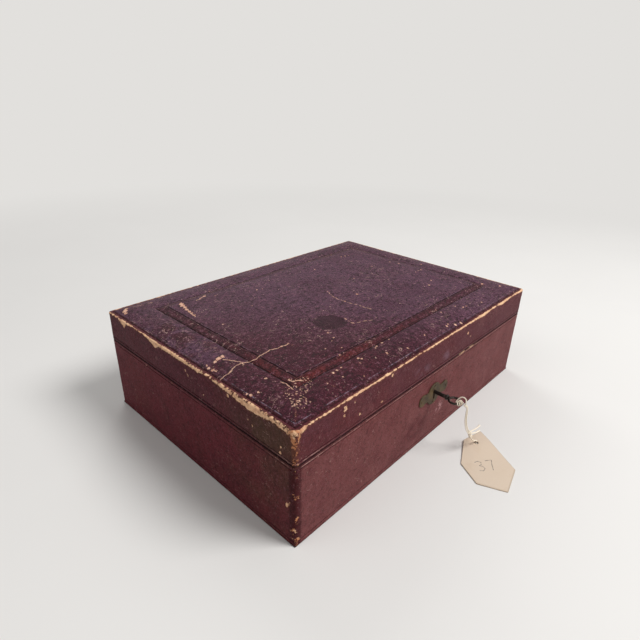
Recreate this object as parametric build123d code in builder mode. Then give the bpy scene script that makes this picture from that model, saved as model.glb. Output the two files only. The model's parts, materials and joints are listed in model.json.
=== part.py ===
from build123d import *
import os
from math import pi, radians, tan

os.makedirs("parts", exist_ok=True)

# Leather covered toiletry case, lid closed, key in its lock.
# Millimetres. Origin under the middle of the case, +X along the front, front at -Y, +Z up.

# Driving dimensions
WIDTH = 300.0
DEPTH = 216.0
EDGE_HEIGHT = 87.0
RIM = 62.5
RIM_GAP = 0.55
CROWN_RISE = 5.8

SKIN = 1.0
BOARD = 8.0
RAIL = 7.0
BOTTOM = 5.0
LID_BOARD = 5.0
CORNER_RADIUS = 3.0
LIP_RISE = 5.5
LINING = 1.5

# Levels and faces worked out from them
lid_rim = RIM + RIM_GAP
half_width = WIDTH / 2
half_depth = DEPTH / 2
wood_x = half_width - SKIN
wood_y = half_depth - SKIN
inner_x = wood_x - BOARD
inner_y = wood_y - BOARD
wood_top = RIM - SKIN
floor_top = SKIN + BOTTOM
lid_wood_bottom = lid_rim + SKIN
lid_wood_top = EDGE_HEIGHT - SKIN
lid_board_bottom = lid_wood_top - LID_BOARD
rail_inner_x = wood_x - RAIL
rail_inner_y = wood_y - RAIL

# Lock, key and escutcheon
KEY_X = -1.0
KEY_Z = 43.6
LOCK_HALF = 24.0
LOCK_BOTTOM = 32.5
LOCK_FRONT = -(wood_y - 1.0)
LOCK_BACK = -inner_y
LOCK_WALL = 1.0
SHAFT_RADIUS = 1.5
KEYHOLE_RADIUS = 1.56
PIPE_RADIUS = 0.75
DRILL_PIN_RADIUS = 0.7
SHAFT_TIP = -100.3
COLLAR_Y = -119.6
COLLAR_RADIUS = 2.3
BIT_REACH = 6.0
BIT_THICKNESS = 1.6
BIT_Y = (-104.6, -100.5)
WARD_CUT = 2.0
BOW_Y = -126.0
BOW_RADIUS = 4.2
BOW_WIRE = 0.9
BOLT_EDGE = 48.4
BOLT_TOP = 53.6
BOLT_X = (-19.6, 13.0)
BOLT_THICKNESS = 1.8
BOLT_THROW = 5.0
FINGER_X = (-17.1, 4.9)
FINGER_ROOT = 2.5
FINGER_REACH = 5.2
NOTCH = 8.4
NOTCH_DEPTH = 1.8
NOTCH_SHIFT = -1.25
LINK_X = (-12.0, 10.0)
LINK_THICKNESS = 2.0
LINK_DROP = 8.0
LINK_Y = (-104.5, -100.5)
TOP_PLATE_HALF = 30.0
LINK_PLATE_HALF = 26.0
GUIDE_X = (-12.0, 8.0)
GUIDE_Z = 51.9
GUIDE_RADIUS = 0.9
ESCUTCHEON = 0.8
ESCUTCHEON_Z = 41.8
ESCUTCHEON_BOSS = 9.2
ESCUTCHEON_LOBE = 5.0
ESCUTCHEON_LOBE_X = 15.4
ESCUTCHEON_WAIST = 3.9
PIN_HEAD = 0.8
PIN_SHANK = 0.42
lock_inside_front = LOCK_FRONT + LOCK_WALL
lock_inside_back = LOCK_BACK - LOCK_WALL
bolt_y = (lock_inside_front + lock_inside_back) / 2
finger_z = (lid_rim - 6.2, lid_rim - 3.9)

# Hinges
HINGE_X = (-95.0, 95.0)
HINGE_LENGTH = 40.0
LEAF = 0.9
LEAF_INNER_Y = 101.5
PIN_AXIS_Y = half_depth + 1.2
PIN_AXIS_Z = RIM + RIM_GAP / 2
KNUCKLE_RADIUS = 2.0
KNUCKLE_BORE = 0.95
PIN_RADIUS = 0.9
KNUCKLES = 5

# Wood screws, all of one size
SCREW_RADIUS = 0.7
SCREW_HEAD = 1.5
SCREW_LENGTH = 6.5

# Inside fittings
LEDGE_TOP = 33.5
LEDGE = 3.0
DIVIDER = 3.0
TRAY_TOP = 56.0
TRAY_WALL = 3.0
TRAY_BASE = 2.5
TRAY_PLAY = 0.6
LID_PAD = 3.0
LONG_DIVIDER_Y = 19.5
SHORT_DIVIDERS_X = (-44.5, 59.5)
TRAY_LONG_Y = 25.0
TRAY_SHORT_X = -28.0
TAB = (14.0, 16.5, 1.0)

# Lid top, as insets from the lid's edge
TOP_EDGE = 3.0
BORDER = 27.0
FIELD = 34.5
CROWN = 69.5
TOOLED_LINE = 0.8

# String and tag
STRING = 0.9
TAIL = 0.8
HITCH_KNOT_Y = (-135.3, -133.8)
HITCH_KNOT_RADIUS = 1.35
KNOT_RADIUS = 1.35
TAG_HOLE = (18.0, -141.5)
TAG_HOLE_RADIUS = 1.6
TAG_HOLE_LIFT = 1.5
TAG_THICKNESS = 0.5
TAG_REST = (-14.0, -182.0)
TAG_OUTLINE = (
    (14.5, -132.5),
    (34.9, -136.8),
    (11.5, -176.3),
    (-14.0, -182.0),
    (-22.0, -162.2),
    (-11.3, -144.0),
)


def save(piece, name):
    piece.part.label = name
    export_step(piece.part, f"parts/{name}.step")


def slab(name, x, y, z):
    """A square-edged board between two faces along each axis."""
    with BuildPart() as piece:
        with BuildSketch(Plane.XY.offset(z[0])):
            with Locations(((x[0] + x[1]) / 2, (y[0] + y[1]) / 2)):
                Rectangle(x[1] - x[0], y[1] - y[0])
        extrude(amount=z[1] - z[0])
    save(piece, name)


def block(x, y, z):
    """A loose box for cutting, between two faces along each axis."""
    centre = Pos((x[0] + x[1]) / 2, (y[0] + y[1]) / 2, (z[0] + z[1]) / 2)
    return centre * Box(x[1] - x[0], y[1] - y[0], z[1] - z[0], mode=Mode.PRIVATE)


def front_plane(y):
    """A plane facing the front at depth y, with its own x to the right and its own y up."""
    return Plane(origin=(0, y, 0), x_dir=(1, 0, 0), z_dir=(0, -1, 0))


def tube(points, radii, diameter):
    """A round cord along straight runs joined by tangent arcs."""
    with BuildPart() as cord:
        with BuildLine():
            FilletPolyline(*points, radius=radii)
        with BuildSketch(Plane(origin=points[0], z_dir=Vector(*points[1]) - Vector(*points[0]))):
            Circle(diameter / 2)
        sweep()
    return cord


def arc_radii(name, points):
    """As large an arc at each corner as its two runs allow."""
    radii = []
    for before, corner, after in zip(points, points[1:], points[2:]):
        run_in = Vector(*corner) - Vector(*before)
        run_out = Vector(*after) - Vector(*corner)
        half_turn = radians(run_in.get_angle(run_out)) / 2
        radii.append(0.45 * min(run_in.length, run_out.length) / tan(half_turn))
    print(name, "radii", [round(radius, 2) for radius in radii])
    return radii


# Hinge geometry shared by the boards, leathers and leaves
leaf_notches = [(x - HINGE_LENGTH / 2 - 0.1, x + HINGE_LENGTH / 2 + 0.1) for x in HINGE_X]
knuckle_notches = [(x - HINGE_LENGTH / 2 - 1.2, x + HINGE_LENGTH / 2 + 1.2) for x in HINGE_X]
knuckle_notch_y = (wood_y - 0.1, half_depth + 1)
hinge_screw_places = [(x + step, 104.4) for x in HINGE_X for step in (-14.0, 0.0, 14.0)]
lock_screw_places = [(-27.0, -102.5), (27.0, -102.5)]
link_screw_places = [(-22.0, -103.5), (22.0, -103.5)]

# Base carcass
cover_x = half_width - 0.4
cover_y = half_depth - 0.4
slab("bottom_cover", (-cover_x, cover_x), (-cover_y, cover_y), (0, SKIN))
slab("bottom_board", (-inner_x, inner_x), (-inner_y, inner_y), (SKIN, floor_top))
slab("board_left", (-wood_x, -inner_x), (-inner_y, inner_y), (SKIN, wood_top))
slab("board_right", (inner_x, wood_x), (-inner_y, inner_y), (SKIN, wood_top))

with BuildPart() as board_back:
    with BuildSketch(Plane.XY.offset(SKIN)):
        with Locations((0, (inner_y + wood_y) / 2)):
            Rectangle(2 * wood_x, BOARD)
    extrude(amount=wood_top - SKIN)
    with Locations(*[(x, y, wood_top) for x, y in hinge_screw_places]):
        Hole(radius=SCREW_RADIUS + 0.05, depth=SCREW_LENGTH + 0.5)
save(board_back, "board_back")


def keyhole_sketch(radius, slot):
    """A round hole for the shaft with a slot under it for the bit."""
    with BuildSketch() as sketch:
        with Locations((KEY_X, KEY_Z)):
            Circle(radius)
        with Locations((KEY_X, KEY_Z - BIT_REACH / 2 - 0.3)):
            Rectangle(slot, BIT_REACH + 0.6)
    return sketch.sketch


keyhole = keyhole_sketch(KEYHOLE_RADIUS, BIT_THICKNESS + 0.4)
wide_keyhole = keyhole_sketch(KEYHOLE_RADIUS + 0.4, BIT_THICKNESS + 0.8)

with BuildPart() as board_front:
    with BuildSketch(Plane.XY.offset(SKIN)):
        with Locations((0, -(inner_y + wood_y) / 2)):
            Rectangle(2 * wood_x, BOARD)
    extrude(amount=wood_top - SKIN)
    pocket_x = (-LOCK_HALF, LOCK_HALF)
    add(block(pocket_x, (LOCK_FRONT, -inner_y), (LOCK_BOTTOM, wood_top)), mode=Mode.SUBTRACT)
    with BuildSketch(front_plane(-wood_y + 1.5)):
        add(wide_keyhole)
    extrude(amount=2.0, mode=Mode.SUBTRACT)
    with Locations(*[(x, y, wood_top) for x, y in lock_screw_places]):
        Hole(radius=SCREW_RADIUS + 0.05, depth=SCREW_LENGTH + 0.5)
save(board_front, "board_front")

with BuildPart() as base_leather:
    with BuildSketch(Plane.XY.offset(SKIN)):
        RectangleRounded(WIDTH, DEPTH, CORNER_RADIUS)
    extrude(amount=RIM - SKIN)
    fillet(base_leather.faces().sort_by(Axis.Z)[-1].edges(), radius=0.8)
    add(block((-wood_x, wood_x), (-wood_y, wood_y), (0, wood_top)), mode=Mode.SUBTRACT)
    add(block((-inner_x, inner_x), (-inner_y, inner_y), (0, RIM + 1)), mode=Mode.SUBTRACT)
    for z in (3.6, RIM - 3.2):
        with BuildSketch(Plane.XY.offset(z)):
            RectangleRounded(WIDTH + 2, DEPTH + 2, CORNER_RADIUS + 1)
            RectangleRounded(WIDTH - 0.5, DEPTH - 0.5, CORNER_RADIUS - 0.25, mode=Mode.SUBTRACT)
        extrude(amount=0.7, mode=Mode.SUBTRACT)
    for ends in leaf_notches:
        add(block(ends, (LEAF_INNER_Y, half_depth + 1), (wood_top, RIM + 1)), mode=Mode.SUBTRACT)
    for ends in knuckle_notches:
        add(block(ends, knuckle_notch_y, (PIN_AXIS_Z - 2.5, RIM + 1)), mode=Mode.SUBTRACT)
    plate_x = (-TOP_PLATE_HALF, TOP_PLATE_HALF)
    add(block(plate_x, (LOCK_FRONT, -inner_y), (wood_top, RIM + 1)), mode=Mode.SUBTRACT)
    with BuildSketch(front_plane(-wood_y + 0.5)):
        add(wide_keyhole)
    extrude(amount=2.0, mode=Mode.SUBTRACT)
save(base_leather, "base_leather")

# Linings, floor pad, ledges and dividers
lip_top = RIM + LIP_RISE
lining_x = inner_x - LINING
lining_y = inner_y - LINING
pad_top = floor_top + LINING
ledge_x = lining_x - LEDGE
ledge_y = lining_y - LEDGE
slab("lining_front", (-inner_x, inner_x), (-inner_y, -lining_y), (floor_top, lip_top))
slab("lining_back", (-inner_x, inner_x), (lining_y, inner_y), (floor_top, lip_top))
slab("lining_left", (-inner_x, -lining_x), (-lining_y, lining_y), (floor_top, lip_top))
slab("lining_right", (lining_x, inner_x), (-lining_y, lining_y), (floor_top, lip_top))
slab("floor_pad", (-lining_x, lining_x), (-lining_y, lining_y), (floor_top, pad_top))
slab("ledge_front", (-lining_x, lining_x), (-lining_y, -ledge_y), (pad_top, LEDGE_TOP))
slab("ledge_back", (-lining_x, lining_x), (ledge_y, lining_y), (pad_top, LEDGE_TOP))
slab("ledge_left", (-lining_x, -ledge_x), (-ledge_y, ledge_y), (pad_top, LEDGE_TOP))
slab("ledge_right", (ledge_x, lining_x), (-ledge_y, ledge_y), (pad_top, LEDGE_TOP))
long_y = (LONG_DIVIDER_Y - DIVIDER / 2, LONG_DIVIDER_Y + DIVIDER / 2)
slab("divider_long", (-ledge_x, ledge_x), long_y, (pad_top, LEDGE_TOP))
for name, x in zip(("divider_left", "divider_right"), SHORT_DIVIDERS_X):
    slab(name, (x - DIVIDER / 2, x + DIVIDER / 2), (-ledge_y, long_y[0]), (pad_top, LEDGE_TOP))

# Lift-out tray
tray_x = lining_x - TRAY_PLAY
tray_y = lining_y - TRAY_PLAY
tray_bottom = LEDGE_TOP + 0.3
tray_floor = tray_bottom + TRAY_BASE
cell_x = tray_x - TRAY_WALL
cell_y = tray_y - TRAY_WALL
tray_long_y = (TRAY_LONG_Y - DIVIDER / 2, TRAY_LONG_Y + DIVIDER / 2)
tray_short_x = (TRAY_SHORT_X - DIVIDER / 2, TRAY_SHORT_X + DIVIDER / 2)
tray_divider_top = TRAY_TOP - 2
slab("tray_base", (-tray_x, tray_x), (-tray_y, tray_y), (tray_bottom, tray_floor))
slab("tray_wall_front", (-tray_x, tray_x), (-tray_y, -cell_y), (tray_floor, TRAY_TOP))
slab("tray_wall_back", (-tray_x, tray_x), (cell_y, tray_y), (tray_floor, TRAY_TOP))
slab("tray_wall_left", (-tray_x, -cell_x), (-cell_y, cell_y), (tray_floor, TRAY_TOP))
slab("tray_wall_right", (cell_x, tray_x), (-cell_y, cell_y), (tray_floor, TRAY_TOP))
slab("tray_divider_long", (-cell_x, cell_x), tray_long_y, (tray_floor, tray_divider_top))
slab("tray_divider_short", tray_short_x, (-cell_y, tray_long_y[0]), (tray_floor, tray_divider_top))

with BuildPart() as tray_tabs:
    for side in (-1, 1):
        with BuildSketch(Plane(origin=(side * cell_x, 0, 0), x_dir=(0, -side, 0), z_dir=(-side, 0, 0))):
            with Locations((0, TRAY_TOP - TAB[1] / 2 + 1.5)):
                RectangleRounded(TAB[0], TAB[1], 3)
        extrude(amount=TAB[2])
save(tray_tabs, "tray_tabs")

# Lock case let into the front board, open at the back and the top
with BuildPart() as lock_case:
    add(block((-LOCK_HALF, LOCK_HALF), (LOCK_FRONT, lock_inside_back), (LOCK_BOTTOM, wood_top)))
    add(
        block(
            (-LOCK_HALF + LOCK_WALL, LOCK_HALF - LOCK_WALL),
            (lock_inside_front, lock_inside_back),
            (LOCK_BOTTOM + LOCK_WALL, RIM),
        ),
        mode=Mode.SUBTRACT,
    )
    with BuildSketch(front_plane(lock_inside_front + 0.5)):
        add(keyhole)
    extrude(amount=3.0, mode=Mode.SUBTRACT)
save(lock_case, "lock_case")

with BuildPart() as lock_back_plate:
    add(block((-LOCK_HALF, LOCK_HALF), (lock_inside_back, LOCK_BACK), (LOCK_BOTTOM, wood_top)))
save(lock_back_plate, "lock_back_plate")

with BuildPart() as lock_top_plate:
    plate_x = (-TOP_PLATE_HALF, TOP_PLATE_HALF)
    add(block(plate_x, (LOCK_FRONT, LOCK_BACK), (wood_top, RIM)))
    with Locations(*[(x, y, RIM) for x, y in lock_screw_places]):
        CounterSinkHole(SCREW_RADIUS + 0.05, SCREW_HEAD + 0.05, depth=2, counter_sink_angle=90)
    for x in LINK_X:
        slot_x = (x - LINK_THICKNESS / 2 - 0.4, x + LINK_THICKNESS / 2 + 0.4)
        slot_y = (LINK_Y[0] - 0.4, LINK_Y[1] + 0.4)
        add(block(slot_x, slot_y, (RIM - 2, RIM + 1)), mode=Mode.SUBTRACT)
save(lock_top_plate, "lock_top_plate")

with BuildPart() as drill_pin:
    with BuildSketch(front_plane(lock_inside_back)):
        with Locations((KEY_X, KEY_Z)):
            Circle(DRILL_PIN_RADIUS)
    extrude(amount=5.5)
save(drill_pin, "drill_pin")

with BuildPart() as bolt_guide_pins:
    with BuildSketch(front_plane(lock_inside_back)):
        with Locations(*[(x, GUIDE_Z) for x in GUIDE_X]):
            Circle(GUIDE_RADIUS)
    extrude(amount=lock_inside_back - lock_inside_front - 0.3)
save(bolt_guide_pins, "bolt_guide_pins")

# Bolt: a bar with two fingers that enter the links from the left
bolt_outline = [(BOLT_X[1], BOLT_TOP), (BOLT_X[1], BOLT_EDGE), (BOLT_X[0], BOLT_EDGE)]
for x in FINGER_X:
    bolt_outline += [
        (x - FINGER_ROOT, BOLT_TOP),
        (x - FINGER_ROOT, finger_z[1]),
        (x - FINGER_ROOT + FINGER_REACH, finger_z[1]),
        (x - FINGER_ROOT + FINGER_REACH, finger_z[0]),
        (x, finger_z[0]),
        (x, BOLT_TOP),
    ]
bolt_outline.remove((FINGER_X[0] - FINGER_ROOT, BOLT_TOP))
with BuildPart() as lock_bolt:
    with BuildSketch(front_plane(bolt_y + BOLT_THICKNESS / 2)):
        with BuildLine():
            Polyline(*bolt_outline, close=True)
        make_face()
        with Locations((KEY_X + NOTCH_SHIFT, BOLT_EDGE)):
            Rectangle(NOTCH, 2 * NOTCH_DEPTH, mode=Mode.SUBTRACT)
        for x in GUIDE_X:
            with Locations((x + NOTCH_SHIFT, GUIDE_Z)):
                slot = 2 * GUIDE_RADIUS + 0.2
                SlotOverall(BOLT_THROW + slot + 0.2, slot, mode=Mode.SUBTRACT)
    extrude(amount=BOLT_THICKNESS)
save(lock_bolt, "lock_bolt")

# Key: piped shaft, bit to the left, ring bow lying level
with BuildPart() as key:
    with BuildSketch(front_plane(SHAFT_TIP)):
        with Locations((KEY_X, KEY_Z)):
            Circle(SHAFT_RADIUS)
    extrude(amount=SHAFT_TIP - (BOW_Y + BOW_RADIUS))
    with BuildSketch(Plane(origin=(KEY_X, COLLAR_Y, KEY_Z), x_dir=(1, 0, 0), z_dir=(0, 0, 1))):
        with BuildLine():
            neck = COLLAR_RADIUS - 0.6
            rim = COLLAR_RADIUS
            Polyline((0, 1.0), (neck, 1.0), (rim, 0.4), (rim, -0.4), (neck, -1.0), (0, -1.0), close=True)
        make_face()
    revolve(axis=Axis((KEY_X, COLLAR_Y, KEY_Z), (0, 1, 0)))
    with Locations((KEY_X, BOW_Y, KEY_Z)):
        Torus(BOW_RADIUS, BOW_WIRE)
    bit_x = (KEY_X - BIT_REACH, KEY_X - SHAFT_RADIUS + 0.4)
    bit_z = (KEY_Z - BIT_THICKNESS / 2, KEY_Z + BIT_THICKNESS / 2)
    add(block(bit_x, BIT_Y, bit_z))
    ward_cut_x = (KEY_X - BIT_REACH - 1, KEY_X - BIT_REACH + WARD_CUT)
    ward_cut_y = (BIT_Y[0] - 1, BIT_Y[0] + 0.6)
    add(block(ward_cut_x, ward_cut_y, (KEY_Z - 2, KEY_Z + 2)), mode=Mode.SUBTRACT)
    with BuildSketch(front_plane(SHAFT_TIP)):
        with Locations((KEY_X, KEY_Z)):
            Circle(PIPE_RADIUS)
    extrude(amount=7.0, mode=Mode.SUBTRACT)
save(key, "key")

# String hitched on the far side of the bow: two turns, a standing loop and a small knot on the key's axis
bow_far = BOW_Y - BOW_RADIUS
hitch_turn = BOW_WIRE + STRING / 2 + 0.05
loop_points = [
    (KEY_X, bow_far + hitch_turn, KEY_Z + 0.2),
    (KEY_X, bow_far + hitch_turn - 0.2, KEY_Z + 3.8),
    (KEY_X, bow_far - 1.7, KEY_Z + 6.2),
    (KEY_X, HITCH_KNOT_Y[1] - 0.5, KEY_Z + 5.6),
    (KEY_X, HITCH_KNOT_Y[1] - 1.0, KEY_Z + 3.2),
    (KEY_X, HITCH_KNOT_Y[1] - 0.8, KEY_Z + 0.2),
]
standing_loop = tube(loop_points, arc_radii("hitch loop", loop_points), STRING)
with BuildPart() as bow_hitch:
    with Locations(*[Pos(KEY_X + step, bow_far, KEY_Z) * Rot(0, 90, 0) for step in (-0.5, 0.5)]):
        Torus(hitch_turn, STRING / 2)
    add(standing_loop.part)
    with BuildSketch(front_plane(HITCH_KNOT_Y[1])):
        with Locations((KEY_X, KEY_Z)):
            Circle(HITCH_KNOT_RADIUS)
    extrude(amount=HITCH_KNOT_Y[1] - HITCH_KNOT_Y[0])
    add(key.part, mode=Mode.SUBTRACT)
save(bow_hitch, "bow_hitch")

# Escutcheon: a low plate with a swelling middle and round ends, pinned to the front
with BuildPart() as escutcheon:
    with BuildSketch(front_plane(-half_depth)) as plate_outline:
        with Locations((KEY_X, ESCUTCHEON_Z)):
            Circle(ESCUTCHEON_BOSS)
            Rectangle(2 * ESCUTCHEON_LOBE_X, 2 * ESCUTCHEON_WAIST)
        with Locations(*[(KEY_X + side * ESCUTCHEON_LOBE_X, ESCUTCHEON_Z) for side in (-1, 1)]):
            Circle(ESCUTCHEON_LOBE)
        fillet(plate_outline.vertices(), radius=1.2)
    extrude(amount=ESCUTCHEON)
    chamfer(escutcheon.faces().sort_by(Axis.Y)[0].edges(), length=0.25)
    with BuildSketch(front_plane(-half_depth + 1)):
        add(keyhole)
    extrude(amount=3.0, mode=Mode.SUBTRACT)
    pin_places = [
        (KEY_X - ESCUTCHEON_LOBE_X - 2, ESCUTCHEON_Z),
        (KEY_X + ESCUTCHEON_LOBE_X + 2, ESCUTCHEON_Z),
        (KEY_X, ESCUTCHEON_Z + ESCUTCHEON_BOSS - 2),
        (KEY_X, ESCUTCHEON_Z - ESCUTCHEON_BOSS + 2),
    ]
    with BuildSketch(front_plane(-half_depth + 1)):
        with Locations(*pin_places):
            Circle(PIN_SHANK + 0.03)
    extrude(amount=3.0, mode=Mode.SUBTRACT)
save(escutcheon, "escutcheon")

with BuildPart() as escutcheon_pins:
    with BuildSketch(front_plane(-half_depth - ESCUTCHEON)):
        with Locations(*pin_places):
            Circle(PIN_HEAD)
    extrude(amount=0.4)
    fillet(escutcheon_pins.faces().sort_by(Axis.Y)[0:4].edges(), radius=0.25)
    with BuildSketch(front_plane(-half_depth)):
        with Locations(*pin_places):
            Circle(PIN_SHANK)
    extrude(amount=ESCUTCHEON)
save(escutcheon_pins, "escutcheon_pins")

# Wood screws: one countersunk screw, head up, copied to every place
with BuildPart() as wood_screw:
    with BuildSketch(Plane.XZ):
        with BuildLine():
            Polyline(
                (0, 0),
                (SCREW_HEAD, 0),
                (SCREW_RADIUS, SCREW_RADIUS - SCREW_HEAD),
                (SCREW_RADIUS, 1.0 - SCREW_LENGTH),
                (0, -SCREW_LENGTH),
                close=True,
            )
        make_face()
    revolve(axis=Axis.Z)
    with BuildSketch(Plane.XY):
        Rectangle(2 * SCREW_HEAD, 0.4)
    extrude(amount=-0.4, mode=Mode.SUBTRACT)

leaf_top = wood_top + LEAF
lid_leaf_bottom = lid_wood_bottom - LEAF
screw_groups = {
    "lock_screws": (lock_screw_places, RIM, 0),
    "link_plate_screws": (link_screw_places, lid_rim, 180),
    "hinge_screws_base": (hinge_screw_places, leaf_top, 0),
    "hinge_screws_lid": (hinge_screw_places, lid_leaf_bottom, 180),
}
for name, (places, z, turn) in screw_groups.items():
    with BuildPart() as screws:
        for x, y in places:
            add(Pos(x, y, z) * Rot(turn, 0, 0) * wood_screw.part)
    save(screws, name)

# Hinges: five knuckles each, three on the base leaf and two on the lid leaf
knuckle_length = HINGE_LENGTH / KNUCKLES


def hinge_leaf(z, first, face_z, turn):
    """Both hinges' leaves for one side, with every second knuckle from the given one."""
    with BuildPart() as leaf:
        for hinge_x in HINGE_X:
            x_left = hinge_x - HINGE_LENGTH / 2
            plate_x = (x_left, x_left + HINGE_LENGTH)
            add(block(plate_x, (LEAF_INNER_Y + 0.1, wood_y), z))
            for index in range(first, KNUCKLES, 2):
                ends = (
                    x_left + index * knuckle_length + 0.05,
                    x_left + (index + 1) * knuckle_length - 0.05,
                )
                add(block(ends, (wood_y, PIN_AXIS_Y - 0.5), z))
                middle = (ends[0] + ends[1]) / 2
                with Locations(Pos(middle, PIN_AXIS_Y, PIN_AXIS_Z) * Rot(0, 90, 0)):
                    Cylinder(KNUCKLE_RADIUS, ends[1] - ends[0])
            with Locations(Pos(hinge_x, PIN_AXIS_Y, PIN_AXIS_Z) * Rot(0, 90, 0)):
                Cylinder(KNUCKLE_BORE, HINGE_LENGTH + 2, mode=Mode.SUBTRACT)
        with Locations(*[Pos(x, y, face_z) * Rot(turn, 0, 0) for x, y in hinge_screw_places]):
            CounterSinkHole(SCREW_RADIUS + 0.05, SCREW_HEAD + 0.05, depth=2, counter_sink_angle=90)
    return leaf


save(hinge_leaf((wood_top, leaf_top), 0, leaf_top, 0), "hinge_leaves_base")
save(hinge_leaf((lid_leaf_bottom, lid_wood_bottom), 1, lid_leaf_bottom, 180), "hinge_leaves_lid")

with BuildPart() as hinge_pins:
    for hinge_x in HINGE_X:
        with Locations(Pos(hinge_x, PIN_AXIS_Y, PIN_AXIS_Z) * Rot(0, 90, 0)):
            Cylinder(PIN_RADIUS, HINGE_LENGTH + 0.4)
        head_x = [hinge_x + side * (HINGE_LENGTH / 2 + 0.4) for side in (-1, 1)]
        with Locations(*[Pos(x, PIN_AXIS_Y, PIN_AXIS_Z) * Rot(0, 90, 0) for x in head_x]):
            Cylinder(1.4, 0.7)
save(hinge_pins, "hinge_pins")

# Lid carcass
slab("lid_board", (-wood_x, wood_x), (-wood_y, wood_y), (lid_board_bottom, lid_wood_top))
rail_z = (lid_wood_bottom, lid_board_bottom)
slab("lid_rail_left", (-wood_x, -rail_inner_x), (-rail_inner_y, rail_inner_y), rail_z)
slab("lid_rail_right", (rail_inner_x, wood_x), (-rail_inner_y, rail_inner_y), rail_z)
rail_screws = {"front": link_screw_places, "back": hinge_screw_places}
for name, side in (("front", -1), ("back", 1)):
    with BuildPart() as rail:
        with BuildSketch(Plane.XY.offset(lid_wood_bottom)):
            with Locations((0, side * (wood_y - RAIL / 2))):
                Rectangle(2 * wood_x, RAIL)
        extrude(amount=lid_board_bottom - lid_wood_bottom)
        with Locations(*[Pos(x, y, lid_wood_bottom) * Rot(180, 0, 0) for x, y in rail_screws[name]]):
            Hole(radius=SCREW_RADIUS + 0.05, depth=SCREW_LENGTH + 0.5)
    save(rail, f"lid_rail_{name}")

with BuildPart() as lid_side_leather:
    with BuildSketch(Plane.XY.offset(lid_rim)):
        RectangleRounded(WIDTH, DEPTH, CORNER_RADIUS)
    extrude(amount=EDGE_HEIGHT - lid_rim)
    fillet(lid_side_leather.faces().sort_by(Axis.Z)[-1].edges(), radius=0.9)
    fillet(lid_side_leather.faces().sort_by(Axis.Z)[0].edges(), radius=0.8)
    wood_z = (lid_wood_bottom, lid_wood_top)
    add(block((-wood_x, wood_x), (-wood_y, wood_y), wood_z), mode=Mode.SUBTRACT)
    add(
        block(
            (-rail_inner_x, rail_inner_x),
            (-rail_inner_y, rail_inner_y),
            (lid_rim - 1, lid_wood_bottom),
        ),
        mode=Mode.SUBTRACT,
    )
    with BuildSketch(Plane.XY.offset(lid_wood_top)):
        Rectangle(WIDTH - 2 * TOP_EDGE, DEPTH - 2 * TOP_EDGE)
    extrude(amount=2.0, mode=Mode.SUBTRACT)
    with BuildSketch(Plane.XY.offset(lid_rim + 2.0)):
        RectangleRounded(WIDTH + 2, DEPTH + 2, CORNER_RADIUS + 1)
        RectangleRounded(WIDTH - 0.5, DEPTH - 0.5, CORNER_RADIUS - 0.25, mode=Mode.SUBTRACT)
    extrude(amount=0.7, mode=Mode.SUBTRACT)
    for ends in leaf_notches:
        leaf_y = (LEAF_INNER_Y, half_depth + 1)
        add(block(ends, leaf_y, (lid_rim - 1, lid_wood_bottom)), mode=Mode.SUBTRACT)
    for ends in knuckle_notches:
        add(block(ends, knuckle_notch_y, (lid_rim - 1, PIN_AXIS_Z + 2.5)), mode=Mode.SUBTRACT)
    link_plate_x = (-LINK_PLATE_HALF, LINK_PLATE_HALF)
    link_plate_y = (-wood_y + 1.0, -rail_inner_y)
    add(block(link_plate_x, link_plate_y, (lid_rim - 1, lid_wood_bottom)), mode=Mode.SUBTRACT)
save(lid_side_leather, "lid_side_leather")


def crown(sections):
    """A low cushion through rectangles, each set in from the lid's edge at its own height."""
    with BuildPart() as cushion:
        for inset, z in sections:
            with BuildSketch(Plane.XY.offset(z)):
                Rectangle(WIDTH - 2 * inset, DEPTH - 2 * inset)
        loft(ruled=True)
    return cushion.part


# Lid top: wadding under a skin of leather, with two tooled lines and a bevel between them
border_z = EDGE_HEIGHT + 3.0
field_z = EDGE_HEIGHT + 5.0
crown_z = EDGE_HEIGHT + CROWN_RISE
skin_sections = [
    (TOP_EDGE + 0.1, lid_wood_top),
    (TOP_EDGE + 0.1, EDGE_HEIGHT - 0.1),
    (TOP_EDGE + 0.8, EDGE_HEIGHT + 0.5),
    (BORDER, border_z),
    (FIELD, field_z),
    (CROWN, crown_z),
]
wadding_sections = [
    (TOP_EDGE + 1.1, lid_wood_top),
    (TOP_EDGE + 1.1, EDGE_HEIGHT - 0.8),
    (BORDER, border_z - SKIN),
    (FIELD, field_z - SKIN),
    (CROWN, crown_z - SKIN),
]
wadding = crown(wadding_sections)
with BuildPart() as lid_wadding:
    add(wadding)
save(lid_wadding, "lid_wadding")
with BuildPart() as lid_top_leather:
    add(crown(skin_sections))
    add(wadding, mode=Mode.SUBTRACT)
    for inset, z in ((BORDER, border_z), (FIELD, field_z)):
        with BuildSketch(Plane.XY.offset(z - 0.3)):
            line_x = WIDTH - 2 * inset
            line_y = DEPTH - 2 * inset
            Rectangle(line_x + TOOLED_LINE, line_y + TOOLED_LINE)
            Rectangle(line_x - TOOLED_LINE, line_y - TOOLED_LINE, mode=Mode.SUBTRACT)
        extrude(amount=2.0, mode=Mode.SUBTRACT)
save(lid_top_leather, "lid_top_leather")

# Lid linings
lid_lining_x = rail_inner_x - 0.5
lid_lining_y = rail_inner_y - 0.5
with BuildPart() as lid_lining_strip:
    with BuildSketch(Plane.XY.offset(lid_wood_bottom)):
        Rectangle(2 * rail_inner_x, 2 * rail_inner_y)
        Rectangle(2 * lid_lining_x, 2 * lid_lining_y, mode=Mode.SUBTRACT)
    extrude(amount=lid_board_bottom - lid_wood_bottom)
save(lid_lining_strip, "lid_lining_strip")

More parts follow.
